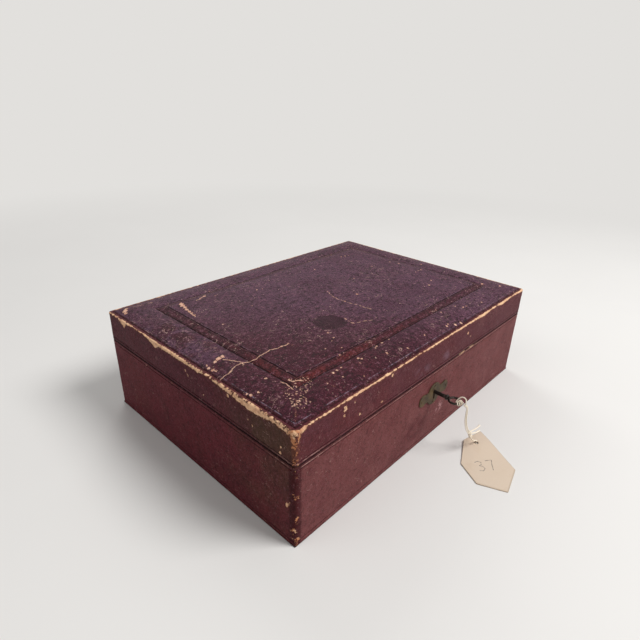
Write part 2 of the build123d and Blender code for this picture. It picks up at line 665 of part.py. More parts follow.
with BuildPart() as lid_lining_pad:
    for inset, drop in ((0.5, 0.0), (0.5, 1.2), (6.0, 2.4), (40.0, LID_PAD)):
        with BuildSketch(Plane.XY.offset(lid_board_bottom - drop)):
            Rectangle(2 * (lid_lining_x - inset), 2 * (lid_lining_y - inset))
    loft(ruled=True)
save(lid_lining_pad, "lid_lining_pad")

with BuildPart() as link_plate:
    add(block(link_plate_x, link_plate_y, (lid_rim, lid_wood_bottom)))
    with Locations(*[Pos(x, y, lid_rim) * Rot(180, 0, 0) for x, y in link_screw_places]):
        CounterSinkHole(SCREW_RADIUS + 0.05, SCREW_HEAD + 0.05, depth=2, counter_sink_angle=90)
    for x in LINK_X:
        link_x = (x - LINK_THICKNESS / 2, x + LINK_THICKNESS / 2)
        add(block(link_x, LINK_Y, (lid_rim - LINK_DROP, lid_rim)))
        window_y = (LINK_Y[0] + 0.8, LINK_Y[1] - 0.8)
        window_z = (finger_z[0] - 0.5, finger_z[1] + 0.5)
        add(block(link_x, window_y, window_z), mode=Mode.SUBTRACT)
save(link_plate, "link_plate")

# String from the hitch to the tag, its second strand, the knots and the tag
string_points = [
    (KEY_X + 0.55, HITCH_KNOT_Y[0] - 0.05, KEY_Z),
    (KEY_X + 0.5, -137.0, KEY_Z - 0.1),
    (KEY_X + 0.3, -138.2, KEY_Z - 1.7),
    (KEY_X - 0.2, -138.3, KEY_Z - 5.2),
    (-2.0, -138.3, 31.0),
    (0.6, -138.9, 24.0),
    (4.6, -139.5, 18.6),
    (6.4, -140.1, 13.6),
    (10.4, -140.8, 8.2),
    (15.4, -141.4, 5.4),
    (17.9, -141.5, 4.2),
    (18.0, -141.5, 1.4),
]
second_points = [
    (KEY_X - 0.55, HITCH_KNOT_Y[0] - 0.05, KEY_Z),
    (KEY_X - 0.7, -136.9, KEY_Z - 0.1),
    (KEY_X - 1.3, -137.9, KEY_Z - 1.6),
    (KEY_X - 2.2, -138.0, KEY_Z - 5.0),
    (-4.1, -138.0, 31.4),
    (-1.7, -138.7, 24.5),
    (2.4, -139.4, 18.7),
    (5.8, -139.8, 15.2),
]
for name, points in (("tag_string", string_points), ("tag_string_second", second_points)):
    cord = tube(points, arc_radii(name, points), STRING)
    print(name, "length by volume", round(cord.part.volume / (pi * STRING**2 / 4), 1))
    save(cord, name)

# Two small knots on the string with the cut ends standing away, and the stopper knot under the tag
tails = (
    [(5.0, -139.6, 18.4), (9.0, -140.0, 18.6), (14.0, -140.6, 17.2), (18.8, -140.9, 18.2)],
    [(5.6, -139.9, 16.8), (9.6, -140.8, 15.8), (14.4, -141.4, 14.0), (19.0, -141.4, 13.2)],
)
tail_tubes = [tube(points, arc_radii("tail", points), TAIL) for points in tails]
with BuildPart() as string_knot:
    with Locations((4.8, -139.5, 18.2), (6.2, -140.0, 14.6)):
        Sphere(KNOT_RADIUS)
    with Locations(Pos(5.5, -139.75, 16.4) * Rot(0, 159, 0)):
        Cylinder(1.0, 3.8)
    for tail in tail_tubes:
        add(tail.part)
save(string_knot, "string_knot")

with BuildPart() as tag_knot:
    with BuildSketch(Plane.XY.offset(0.1)):
        with Locations(TAG_HOLE):
            Circle(1.3)
    extrude(amount=1.3)
    fillet(tag_knot.edges().filter_by(GeomType.CIRCLE), radius=0.4)
save(tag_knot, "tag_knot")

# The tag rests on the stopper knot at its hole and on the table at its far corner
tag_run = Vector(TAG_HOLE[0] - TAG_REST[0], TAG_HOLE[1] - TAG_REST[1], 0)
tag_up = Vector(tag_run.X, tag_run.Y, TAG_HOLE_LIFT)
tag_across = Vector(tag_run.Y, -tag_run.X, 0)
tag_plane = Plane(origin=(*TAG_REST, 0.08), x_dir=tag_across, z_dir=tag_across.cross(tag_up))
with BuildPart() as paper_tag:
    with BuildSketch(tag_plane):
        with BuildLine():
            flat_points = [tag_plane.to_local_coords(Vector(x, y, 0.08)) for x, y in TAG_OUTLINE]
            Polyline(*[(point.X, point.Y) for point in flat_points], close=True)
        make_face()
        hole = tag_plane.to_local_coords(Vector(*TAG_HOLE, 0.08 + TAG_HOLE_LIFT))
        with Locations((hole.X, hole.Y)):
            Circle(TAG_HOLE_RADIUS, mode=Mode.SUBTRACT)
    extrude(amount=TAG_THICKNESS)
save(paper_tag, "paper_tag")
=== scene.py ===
"""Looks of a worn leather toiletry case with its key in the lock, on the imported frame. Metres, +Z up."""

import json
from math import atan2, cos, dist, exp, hypot, pi, radians, sin

import bmesh
import bpy
import numpy as np
from mathutils import Matrix, Vector, noise


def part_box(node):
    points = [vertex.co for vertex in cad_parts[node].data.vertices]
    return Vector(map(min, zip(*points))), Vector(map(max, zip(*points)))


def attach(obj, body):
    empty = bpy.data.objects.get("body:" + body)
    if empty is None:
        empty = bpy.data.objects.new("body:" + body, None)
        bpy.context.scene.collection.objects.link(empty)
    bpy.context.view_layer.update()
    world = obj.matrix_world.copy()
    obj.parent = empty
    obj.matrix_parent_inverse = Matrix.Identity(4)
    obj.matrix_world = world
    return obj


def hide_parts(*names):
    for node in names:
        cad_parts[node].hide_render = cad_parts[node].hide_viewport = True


bl_info = {
    "name": "Leather Toiletry Case",
    "version": (1, 0, 0),
    "blender": (4, 5, 0),
    "location": "3D View > Sidebar > Case",
    "description": "Builds the worn leather, lining, fittings, string and tag of a toiletry case",
    "category": "Add Mesh",
}

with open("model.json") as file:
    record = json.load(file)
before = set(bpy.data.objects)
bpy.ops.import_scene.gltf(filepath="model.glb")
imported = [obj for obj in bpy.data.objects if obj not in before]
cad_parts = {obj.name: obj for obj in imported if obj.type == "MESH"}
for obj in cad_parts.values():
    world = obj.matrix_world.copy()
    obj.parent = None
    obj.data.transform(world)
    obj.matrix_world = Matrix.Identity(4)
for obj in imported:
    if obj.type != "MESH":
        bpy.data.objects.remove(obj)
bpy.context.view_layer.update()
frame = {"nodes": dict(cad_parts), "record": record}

MM = 0.001
MERGE = 1e-6
HALF_X = 150
HALF_Y = 108
BASE_RIM = 62.5
LID_RIM = 63.05
EDGE_HEIGHT = 87
BORDER = 27
FIELD = 34.5
TOP_LINES = (27.4, 34.1)
SHOULDER_LINE = 4.9
BASE_LINES = (3.95, 59.65)
LID_LINE = 65.4
HINGE_X = (-95, 95)
LEAF_REACH = 20.1
SEAT_Y = (101.5, 110)
KNUCKLE_REACH = 21.2
KNUCKLE_Y = (106.9, 110)
TOP_SKIN_FLOOR = 86.05
WADDING_FLOOR = 86
SKIN_THICK = 1.6
PIPE_HOLE = 1.96
KEY_X = -1
KEY_Z = 43.6


def srgb(red, green, blue):
    """A colour written in screen values of 0 to 255, as Blender's linear values."""
    shares = [channel / 255 for channel in (red, green, blue)]
    return [s / 12.92 if s <= 0.04045 else ((s + 0.055) / 1.055) ** 2.4 for s in shares]


def colour_setting(name, description, screen):
    return bpy.props.FloatVectorProperty(
        name=name, description=description, default=srgb(*screen), subtype="COLOR", size=3, min=0, max=1
    )


def length_setting(name, description, millimetres):
    return bpy.props.FloatProperty(
        name=name, description=description, default=millimetres * MM, unit="LENGTH", min=0, precision=5
    )


class CaseSizes(bpy.types.PropertyGroup):
    leather_pitch: length_setting("Leather pitch", "Distance between points of the side leather's mesh", 1.5)
    top_pitch: length_setting("Top pitch", "Distance between points of the top leather's mesh", 1.1)
    corner_radius: length_setting("Corner radius", "Radius of the case's upright corners", 3)
    groove_depth: length_setting("Groove depth", "Depth of the tooled lines", 0.35)
    top_swell: length_setting("Top swell", "How far the padded top rises between its tooled lines", 1.7)
    cloth_edge: length_setting("Cloth edge", "Rounding of the cloth covered boards", 0.5)
    string: length_setting("String", "Diameter of the tag's string", 0.9)
    paper: length_setting("Paper", "Thickness of the tag", 0.4)
    tag_curl: length_setting("Tag curl", "How far the tag's edges lift", 0.15)


class CaseColours(bpy.types.PropertyGroup):
    leather_top: colour_setting("Top leather", "Rubbed leather of the lid's top", (68, 25, 38))
    leather_side: colour_setting("Side leather", "Leather of the left, right and back", (102, 38, 46))
    # Painted reflection and light: the front is a lighter, pinker copy of the side leather, standing in for
    # the pale floor it faces and the light falling on it
    leather_front_lit: colour_setting("Front leather", "Leather of the front, a little faded", (118, 67, 67))
    leather_lid: colour_setting("Lid leather", "Leather of the lid's sides", (80, 36, 46))
    leather_deep: colour_setting("Deep leather", "Leather in grooves and folds", (30, 9, 13))
    leather_red: colour_setting("Red leather", "Unfaded leather where it wasn't rubbed", (100, 38, 36))
    leather_dull: colour_setting("Dull leather", "Greyed tips of the grain", (124, 84, 96))
    bare: colour_setting("Bare leather", "Leather worn through its dye", (240, 196, 156))
    # Rubbed spots, which also stand in for painted glints of the grain and for painted highlights on the
    # joint's rims
    fleck_and_glint: colour_setting("Flecks", "Small rubbed spots", (218, 178, 166))
    velvet: colour_setting("Velvet", "Lining of the compartments", (78, 22, 36))
    satin: colour_setting("Satin", "Lining of the lid", (128, 40, 56))
    pine: colour_setting("Pine", "Wood of the boards", (196, 152, 100))
    brass: colour_setting("Brass", "Worn brass", (164, 130, 76))
    tarnish: colour_setting("Tarnish", "Brass gone dark", (62, 48, 32))
    steel: colour_setting("Steel", "Steel of the key and the screws", (140, 132, 126))
    string: colour_setting("String", "Cotton of the string", (250, 240, 222))
    paper: colour_setting("Paper", "Paper of the tag", (214, 196, 176))
    pencil: colour_setting("Pencil", "Pencil on the tag", (104, 96, 92))
    floor: colour_setting("Floor", "Floor and backdrop", (226, 224, 221))


def sizes():
    return bpy.context.scene.case_sizes


def colours():
    return bpy.context.scene.case_colours


def arithmetic(operation, turned=False):
    """A method of Socket that adds one Math node. The other value comes first where it is turned."""

    def method(self, *others):
        return self.math(operation, *((*others, self) if turned else (self, *others)))

    return method


class Socket:
    """A value in a finish. Arithmetic on it adds Math nodes."""

    def __init__(self, finish, plug):
        self.finish = finish
        self.plug = plug

    def math(self, operation, *values):
        return self.finish.node("Math", {"operation": operation}, dict(enumerate(values)))

    __add__ = arithmetic("ADD")
    __radd__ = arithmetic("ADD", True)
    __sub__ = arithmetic("SUBTRACT")
    __rsub__ = arithmetic("SUBTRACT", True)
    __mul__ = arithmetic("MULTIPLY")
    __rmul__ = arithmetic("MULTIPLY", True)
    __truediv__ = arithmetic("DIVIDE")
    __abs__ = arithmetic("ABSOLUTE")
    least = arithmetic("MINIMUM")
    most = arithmetic("MAXIMUM")

    def rise(self, low, high):
        """0 below low and 1 above high, with a soft step between; falls instead where low is above high."""
        if low > high:
            return 1 - self.rise(high, low)
        settings = {"interpolation_type": "SMOOTHSTEP"}
        return self.finish.node("MapRange", settings, {0: self, 1: low, 2: high, 3: 0, 4: 1})

    def bell(self, centre, width):
        """1 at centre and 0 from width away."""
        return abs(self - centre).rise(width, 0)


class Finish:
    """The nodes of a material or of the world, and the tone that its coats of colour have made so far."""

    def __init__(self, name, tone=None, kept_in="materials"):
        self.tone = tone
        self.material = getattr(bpy.data, kept_in).new(name)
        self.material.use_nodes = True
        self.tree = self.material.node_tree
        self.tree.nodes.clear()
        self.at = self.node("TexCoord", take="Object")

    def node(self, kind, settings=None, sockets=None, take=0):
        made = self.tree.nodes.new("ShaderNode" + kind)
        made.location = (220 * (len(self.tree.nodes) // 8), -200 * (len(self.tree.nodes) % 8))
        for name, value in (settings or {}).items():
            if name == "stops":
                ramp = made.color_ramp.elements
                while len(ramp) < len(value):
                    ramp.new(1)
                for element, (position, colour) in zip(ramp, value):
                    element.position = position
                    element.color = (*colour, 1)
            else:
                setattr(made, name, value)
        for name, value in (sockets or {}).items():
            if isinstance(value, Socket):
                self.tree.links.new(value.plug, made.inputs[name])
            elif made.inputs[name].type == "RGBA":
                made.inputs[name].default_value = (*value, 1)
            else:
                made.inputs[name].default_value = value
        return Socket(self, made.outputs[take])

    def noise(self, scale, detail=2, roughness=0.5, at=None, distortion=0, take=0):
        sockets = {"Vector": at or self.at, "Scale": scale, "Detail": detail, "Roughness": roughness}
        return self.node("TexNoise", None, {**sockets, "Distortion": distortion}, take=take)

    def cells(self, scale, feature="DISTANCE_TO_EDGE", at=None):
        sockets = {"Vector": at or self.at, "Scale": scale}
        return self.node("TexVoronoi", {"feature": feature}, sockets)

    def tint(self, factor, under, over):
        """The colour under, covered by the colour over as far as factor says."""
        return self.node("Mix", {"data_type": "RGBA"}, {0: factor, 6: under, 7: over}, take=2)

    def coat(self, factor, over):
        self.tone = self.tint(factor, self.tone, over)

    def scaled(self, x, y, z, at=None):
        return self.vector("MULTIPLY", at or self.at, (x, y, z))

    def vector(self, operation, *values, take=0):
        return self.node("VectorMath", {"operation": operation}, dict(enumerate(values)), take=take)

    def axes(self, at=None):
        split = self.node("SeparateXYZ", None, {0: at or self.at})
        outputs = split.plug.node.outputs
        return [Socket(self, outputs[i]) for i in range(3)]

    def marks(self, value, listed):
        """Follows marks of (place, amount) in millimetres along a value in metres, and gives metres."""
        first, last = listed[0][0], listed[-1][0]
        largest = max(amount for _, amount in listed)
        stops = [((place - first) / (last - first), [amount / largest] * 3) for place, amount in listed]
        along = (value / MM - first) / (last - first)
        return self.node("ValToRGB", {"stops": stops}, {0: along}) * (largest * MM)

    def painted(self, name):
        return self.node("Attribute", {"attribute_name": name}, take="Fac")

    def shaken(self, scale, amount):
        """Positions moved about a little, so that what is drawn by them comes out ragged."""
        centred = self.vector("SUBTRACT", self.noise(scale, 5, 0.65, take="Color"), (0.5, 0.5, 0.5))
        return self.vector("ADD", self.at, self.scaled(amount, amount, amount, at=centred))

    def distance(self, at, points):
        """How far a position is from a line through flat points, in metres."""
        nearest = None
        flat = self.scaled(1, 1, 0, at=at)
        for start, end in zip(points, points[1:]):
            run = [(b - a) * MM for a, b in zip(start, end)]
            squared = run[0] ** 2 + run[1] ** 2
            out = self.vector("SUBTRACT", flat, (start[0] * MM, start[1] * MM, 0))
            share = self.vector("DOT_PRODUCT", out, (run[0] / squared, run[1] / squared, 0), take="Value")
            share = share.most(0).least(1)
            foot = self.node("VectorMath", {"operation": "SCALE"}, {0: (*run, 0), "Scale": share})
            away = self.vector("LENGTH", self.vector("SUBTRACT", out, foot), take="Value")
            nearest = away if nearest is None else nearest.least(away)
        return nearest

    def nearest(self, at, lines):
        """How far a position is from the nearest of several lines."""
        away = [self.distance(at, line) for line in lines]
        nearest = away[0]
        for other in away[1:]:
            nearest = nearest.least(other)
        return nearest

    def bump(self, height, distance, strength=1, over=None):
        sockets = {"Height": height, "Distance": distance, "Strength": strength}
        if over is not None:
            sockets["Normal"] = over
        return self.node("Bump", None, sockets)

    def seen_plainly(self):
        """1 for what the camera sees, straight or in metal or glass, and 0 for what only lights things."""
        camera = self.node("LightPath", take="Is Camera Ray")
        for other in ("Is Glossy Ray", "Is Transmission Ray"):
            camera = camera.most(self.node("LightPath", take=other))
        return camera

    def surface(self, rough, normal, more=None):
        """A Principled surface in the tone that the coats made."""
        sockets = {"Base Color": self.tone, "Roughness": rough, "Normal": normal, **(more or {})}
        return self.shown(self.node("BsdfPrincipled", None, sockets))

    def shown(self, shader, kind="OutputMaterial"):
        output = self.tree.nodes.new("ShaderNode" + kind)
        output.location = (220 * (len(self.tree.nodes) // 8) + 300, 0)
        self.tree.links.new(shader.plug, output.inputs["Surface"])
        return self.material


# Wear, in millimetres. Cracks and scratches in the lid's top leather are lines of points
CRACKS = (
    (
        (-91.9, -40.2), (-104.7, -38), (-112.4, -38.3), (-118.9, -38.7), (-123.9, -36.2),
        (-126.9, -35.5), (-133.5, -35.3), (-139, -38), (-147.1, -37.2),
    ),
    ((-130, -39.4), (-126.9, -35.5), (-128.3, -32.2), (-130.8, -27.4), (-133.5, -23.4)),
    ((-124.7, -69.4), (-123.4, -72.5), (-124.6, -79.8)),
    ((-119.3, -71.7), (-119.5, -74.5), (-115.6, -77.5)),
    ((-106.1, 69.2), (-108, 61.2), (-109.7, 51.8), (-110.9, 42.4)),
)
SCRATCHES = (
    ((1, 8.8), (-3.3, 0.2), (-6, -10), (-5.7, -24.3), (-2.4, -43.7)),
    ((-30.8, -40.3), (-33.4, -49.5), (-17.8, -56.7)),
    ((-93.3, 66.7), (-82, 71.1)),
    ((-133.8, 96.6), (-118.9, 92.7)),
)
# Places of chips in the top, by radius
TOP_CHIPS = {
    0.8: ((-67.7, 26.6), (-93.2, -92.2)),
    0.9: ((-126, 93.8), (-70.3, 82), (-76.3, 65.2), (-37, 50), (-47.9, 22.4), (-89.9, -43.4),
        (-75.4, -74.1), (-105.7, -90.6), (-81.5, -99.8), (39, -79.2), (-65.5, -58)),
    1: ((-143.5, -28.9), (-15, 104), (-19.6, 92.7), (-127.6, 5.7), (42.3, 11.1), (83, 62.3), (88, 61),
        (93, 60), (106, -19.1), (101.2, -19.2), (82.4, 20.7), (-30.3, -82), (-105, -94.9), (-77.1, -62),
        (-68.5, -69), (-48, -74.6), (65.4, -92.5), (57.5, -86.5), (24.7, -98.8), (-57.7, -47.1),
        (-61, -55.5)),
    1.1: ((-131.8, 104), (33.3, 53.5), (-42, 51.5), (137.2, 80.1), (81.2, 75.1), (84, -8.6),
        (-38.4, -81.7), (-85.7, -84.1), (-67.3, -86.6), (37.9, -84.7), (84.1, -96.9), (-5.2, -96.7)),
    1.2: ((-143.8, -19.5), (-145.5, -62.3), (-140.4, -66.9), (50.9, 78.5), (-103.7, 16.5), (107.7, 16.7),
        (110.5, -19.1), (92.2, -41.7), (129.8, -7.1), (79.3, -47.4), (-45.1, -82.4), (-47.9, -83.6),
        (-90.3, -84.7), (-72.6, -89.2), (-48.3, -93.4), (61.4, -91.8), (21.3, -99.9), (124.8, -77.5)),
    1.3: ((-144.8, -64.8), (-129.1, -60.2), (-90.6, -39.4), (110.8, 7.6), (-68.8, -84.4), (-30.6, -98.8),
        (131.6, -92.2), (-88, 68.8)),
    1.5: ((-144.4, -22.5), (-94.8, -85.3), (37.1, -103.4), (-109.9, 49), (-83, 70.8)),
    1.6: ((-138.5, -21.2), (-138.5, 97.5), (-110.5, 45), (13.8, -15.9), (29.9, -102.1), (-104.9, 71)),
    1.7: ((-144.1, -26.4), (-143, 91)),
    1.8: ((-108.6, 57.5),),
    2: ((-109.3, 53),),
    2.2: ((-131.5, -19.9), (-107.8, 62)),
    2.3: ((-134.9, -20.2),),
    2.4: ((-107.2, 66),),
    2.6: ((-141.5, 94.5), (-106.1, 69.2)),
}
CORNER_CRACKLE = ((-117, -80), (-126, -83), (-131, -91))
PATCH = ((-44.8, -35.9), (-44, -36.5))
STAINS = ((-134.2, 46), (-134, 41)), ((-134.6, 26), (-134.2, 18))
# Chips in the upright leather: on the left by (y, z, radius), on the front by (x, z, radius), and elsewhere
LEFT_CHIPS = (
    (-2, 80, 1.3), (-4.5, 77.2, 1.2), (-22.5, 70.1, 1.3), (-49, 82.5, 1.6), (-68, 75, 0.9),
    (-72, 72.6, 0.8), (-96.4, 70.5, 1.3), (-95.9, 67, 1.5), (54, 60.5, 1), (18, 61, 1.2), (-101, 30.5, 1.8),
    (-103, 33.5, 1.3),
)
FRONT_CHIPS = (
    (-108.6, 83.4, 1.3), (-108.2, 80.6, 1.7), (-109.3, 77.4, 1.3), (-61, 84.6, 1.6), (-99.9, 82.5, 0.9),
    (-70.9, 68.1, 1), (-94, 70.2, 1.1), (44, 78, 1.4), (50, 73, 1.1),
)
FAR_CHIPS = (
    (150, -40, 70, 1.8), (150, 55, 30, 1.6), (60, 108, 40, 1.8), (-70, 108, 74, 1.8),
)
SIDE_CHIPS = [(-HALF_X, *chip) for chip in LEFT_CHIPS] + list(FAR_CHIPS)
SIDE_CHIPS += [(x, -HALF_Y, z, radius) for x, z, radius in FRONT_CHIPS]
# How far the worn top edge reaches down the lid's left, by y, and down its front, by x
LEFT_EDGE = (
    (-108, 7), (-100, 4), (-92, 2.6), (-84, 4.2), (-74, 5.4), (-62, 4.8), (-50, 3.3), (-38, 2), (-30, 0.8),
    (-24, 0.9), (-18, 2.2), (16, 2.4), (31, 2.8), (35, 6.4), (40, 3.8), (46, 1.6), (52, 0.6), (70, 0.7),
    (78, 1.6), (82, 6.4), (87, 3.4), (91, 0.9), (108, 1.3),
)
FRONT_EDGE = (
    (-150, 5), (-144, 3), (-139, 0.8), (-120, 0.6), (-106, 0.3), (-66, 0.4), (-20, 0.2), (4, 1), (10, 0.2),
    (30, 1.5), (38, 0.5), (46, 1.5), (58, 1.6), (70, 2.8), (78, 1.2), (92, 0.3), (102, 2.4), (112, 1.5),
    (126, 0.2), (142, 1.8), (150, 2.5),
)
# How wide the wear of the near corner is by height on the lid, and how thick its specks are on the base
CORNER_WEAR = ((62, 1.9), (70, 2.2), (77, 2.7), (82, 3.5), (87, 5))
CORNER_SPECKS = ((0, 1), (9, 0.8), (22, 0.8), (28, 0.1), (34, 0.5), (42, 0.45), (48, 0.05), (62, 0.3))


def edge_inset(x, y):
    """How far in from the nearest side of the case, in metres."""
    return (HALF_X * MM - abs(x)).least(HALF_Y * MM - abs(y))


def top_marks(f):
    """The lid top's tooled lines, band, stains and cracks, with painted shade on the band and on the edge's
    step and painted highlights on the ridges. Gives what is bare, relief and stain.
    """
    c = colours()
    x, y, _ = f.axes()
    inset = edge_inset(x, y)
    outer, inner = (inset.bell(line * MM, 0.001) for line in TOP_LINES)
    groove = outer.most(inner)
    second = inset.bell(0.0288, 0.0006).most(inset.bell(0.0326, 0.0006)) * 0.7
    band = inset.rise(0.0268, 0.0276) * inset.rise(0.0345, 0.0339)
    nearby = (x * 0.4 + y).rise(-0.045, -0.12)
    # Painted shade: the sloping band between the tooled lines is kept darker, without the top's painted
    # sheen, as its slope reflects less
    f.coat(band * 0.75, srgb(66, 25, 36))
    f.coat(band * (0.12 + nearby * 0.68) * (0.4 + f.noise(60).rise(0.4, 0.6) * 0.6), c.leather_red)
    flat = f.shaken(90, 0.008)
    for place in STAINS:
        f.coat(f.distance(flat, place).rise(0.0062, 0.004) * 0.85, srgb(56, 14, 24))
    stain = f.distance(flat, PATCH).rise(0.0122, 0.0108) * 0.85
    f.coat(stain * 0.86, srgb(42, 15, 24))
    # Painted shade on the side of the step down to the worn edge
    step_shade = inset.rise(0.0044, 0.0037)
    f.coat(step_shade * 0.8, srgb(56, 14, 18))
    f.coat(groove.most(second), c.leather_deep)
    # Light lines on the ridges beside the band and on the step's rounded top: painted highlights, partly
    # rubbed leather
    ridge_highlight = inset.bell(0.0264, 0.0004).most(inset.bell(0.0351, 0.0004)) * 0.6
    ridge_highlight = ridge_highlight.most(inset.bell(0.0051, 0.0004) * (0.35 + nearby))
    rubbed = f.noise(160, 4, 0.6).rise(0.4, 0.62)
    f.coat(ridge_highlight * rubbed * 0.75, srgb(136, 122, 136))
    ragged = f.shaken(300, 0.0045)
    crack, scratch = (f.nearest(ragged, lines) for lines in (CRACKS, SCRATCHES))
    dark_lip = crack.rise(0.0012, 0.0005)
    crack = crack.rise(0.00055, 0.0003) * f.noise(260, 3).rise(0.3, 0.42)
    scratch = scratch.rise(0.0007, 0.0002) * f.noise(420, 3).rise(0.42, 0.56) * 0.8
    f.coat(dark_lip * 0.45, c.leather_deep)
    crackled = f.distance(flat, CORNER_CRACKLE).rise(0.0115, 0.002)
    crumbs = (f.cells(520, "F1", at=f.shaken(420, 0.0045)) + f.noise(900, 2) * 0.3).rise(0.46, 0.38)
    crumbs = crumbs * (f.noise(260, 3, 0.6) * 0.6 + crackled * 0.46).rise(0.52, 0.56)
    return crack.most(scratch).most(crumbs), groove * 0.6 + crack * 1.5, stain


def side_marks(f, broken):
    """The upright leather's tooled lines, light rims that are partly painted highlights, painted reflection
    spots and worn edges. Gives what is bare, and relief.
    """
    c = colours()
    x, y, z = f.axes()
    low, high, lid = (z.bell(height * MM, 0.0007) for height in (*BASE_LINES, LID_LINE))
    line = low.most(high).most(lid)
    joint = z.bell(0.0628, 0.0017)
    f.coat((line * 0.6).most(joint), c.leather_deep)
    left = x.rise(-0.1485, -0.1495)
    front = y.rise(-0.1065, -0.1075)
    round_corner = (HALF_X * MM - abs(x)) + (HALF_Y * MM - abs(y))
    near = x.rise(-0.12, -0.14) * y.rise(-0.08, -0.1)
    ragged = (f.noise(420, 5, 0.65) - 0.5) * 0.0045 + (f.noise(90, 3) - 0.5) * 0.002
    tips = f.noise(300, 3).rise(0.34, 0.6)
    # Light rims either side of the joint: rubbed edges, partly painted highlights, strongest on the front and
    # at the near corner
    rims = z.bell(0.0609, 0.0004).most(z.bell(0.0646, 0.0004) * (0.2 + near * 0.8))
    f.coat(rims * tips * (0.08 + front * 0.4 + near * 0.45).least(0.85), c.fleck_and_glint)
    # A pale pinkish patch on the front below the key
    pale_patch = x.bell(0.0125, 0.008) * z.bell(0.0225, 0.0065) * f.noise(300, 4, 0.6).rise(0.46, 0.54)
    # Painted reflections: pale bluish spots on the lid's front, near its lower edge
    reflection_spots = (x.bell(-0.022, 0.013).most(x.bell(0.012, 0.008))) * z.bell(0.0705, 0.006)
    reflection_spots = reflection_spots * f.noise(120, 3).rise(0.4, 0.6)
    blotch = x.bell(-0.026, 0.026) * z.bell(0.02, 0.016) * f.noise(90, 4, 0.6).rise(0.4, 0.56)
    f.coat(blotch * front * 0.7, srgb(76, 26, 32))
    f.coat(pale_patch * front * 0.75, srgb(206, 160, 162))
    f.coat(reflection_spots * front * 0.55, srgb(134, 108, 124))
    far_front = f.noise(150, 3).rise(0.4, 0.6) * z.bell(0.0618, 0.0012) * front * x.bell(0.045, 0.022)
    f.coat(far_front, c.bare)

    inset = edge_inset(x, y)
    down = EDGE_HEIGHT * MM - z
    width = f.noise(38, 3).rise(0.4, 0.62) * 0.0016
    width = width + left * (f.marks(y, LEFT_EDGE) - width)
    width = width + front * (f.marks(x, FRONT_EDGE) - width)
    across = 0.0012 + front * x.rise(0, 0.15) * 0.0006 + left * y.rise(0.05, -0.05) * -0.0006
    width = (width * 0.86 - 0.0003).most(front * (0.0002 + f.noise(60, 3).rise(0.35, 0.6) * 0.0004))
    edge = (width - down).least(across - inset) + ragged * (1 - front * 0.5)
    corner = f.marks(z, CORNER_WEAR) * (0.25 + near * 0.75) - round_corner + ragged
    corner = corner.least(z - 0.0632)
    speck = near * (0.55 + f.noise(200, 4, 0.65) * 0.75 + f.marks(z, CORNER_SPECKS) * 160 - round_corner * 28)
    speck = speck.rise(1.02, 1.06) * z.rise(0.0615, 0.061)
    worn = edge.most(corner)
    halo = worn.rise(-0.0016, 0)
    f.coat(near * round_corner.rise(0.0066, 0.004) * z.rise(0.062, 0.0615) * 0.85, srgb(62, 12, 18))
    f.coat(halo * 0.5, srgb(112, 66, 52))
    holes = (f.noise(400, 4, 0.62) + z.rise(0.086, 0.074) * 0.09).rise(0.54, 0.6) * near
    return broken.most(worn.rise(-0.0001, 0.0002) * (1 - holes)).most(speck), line * 0.6


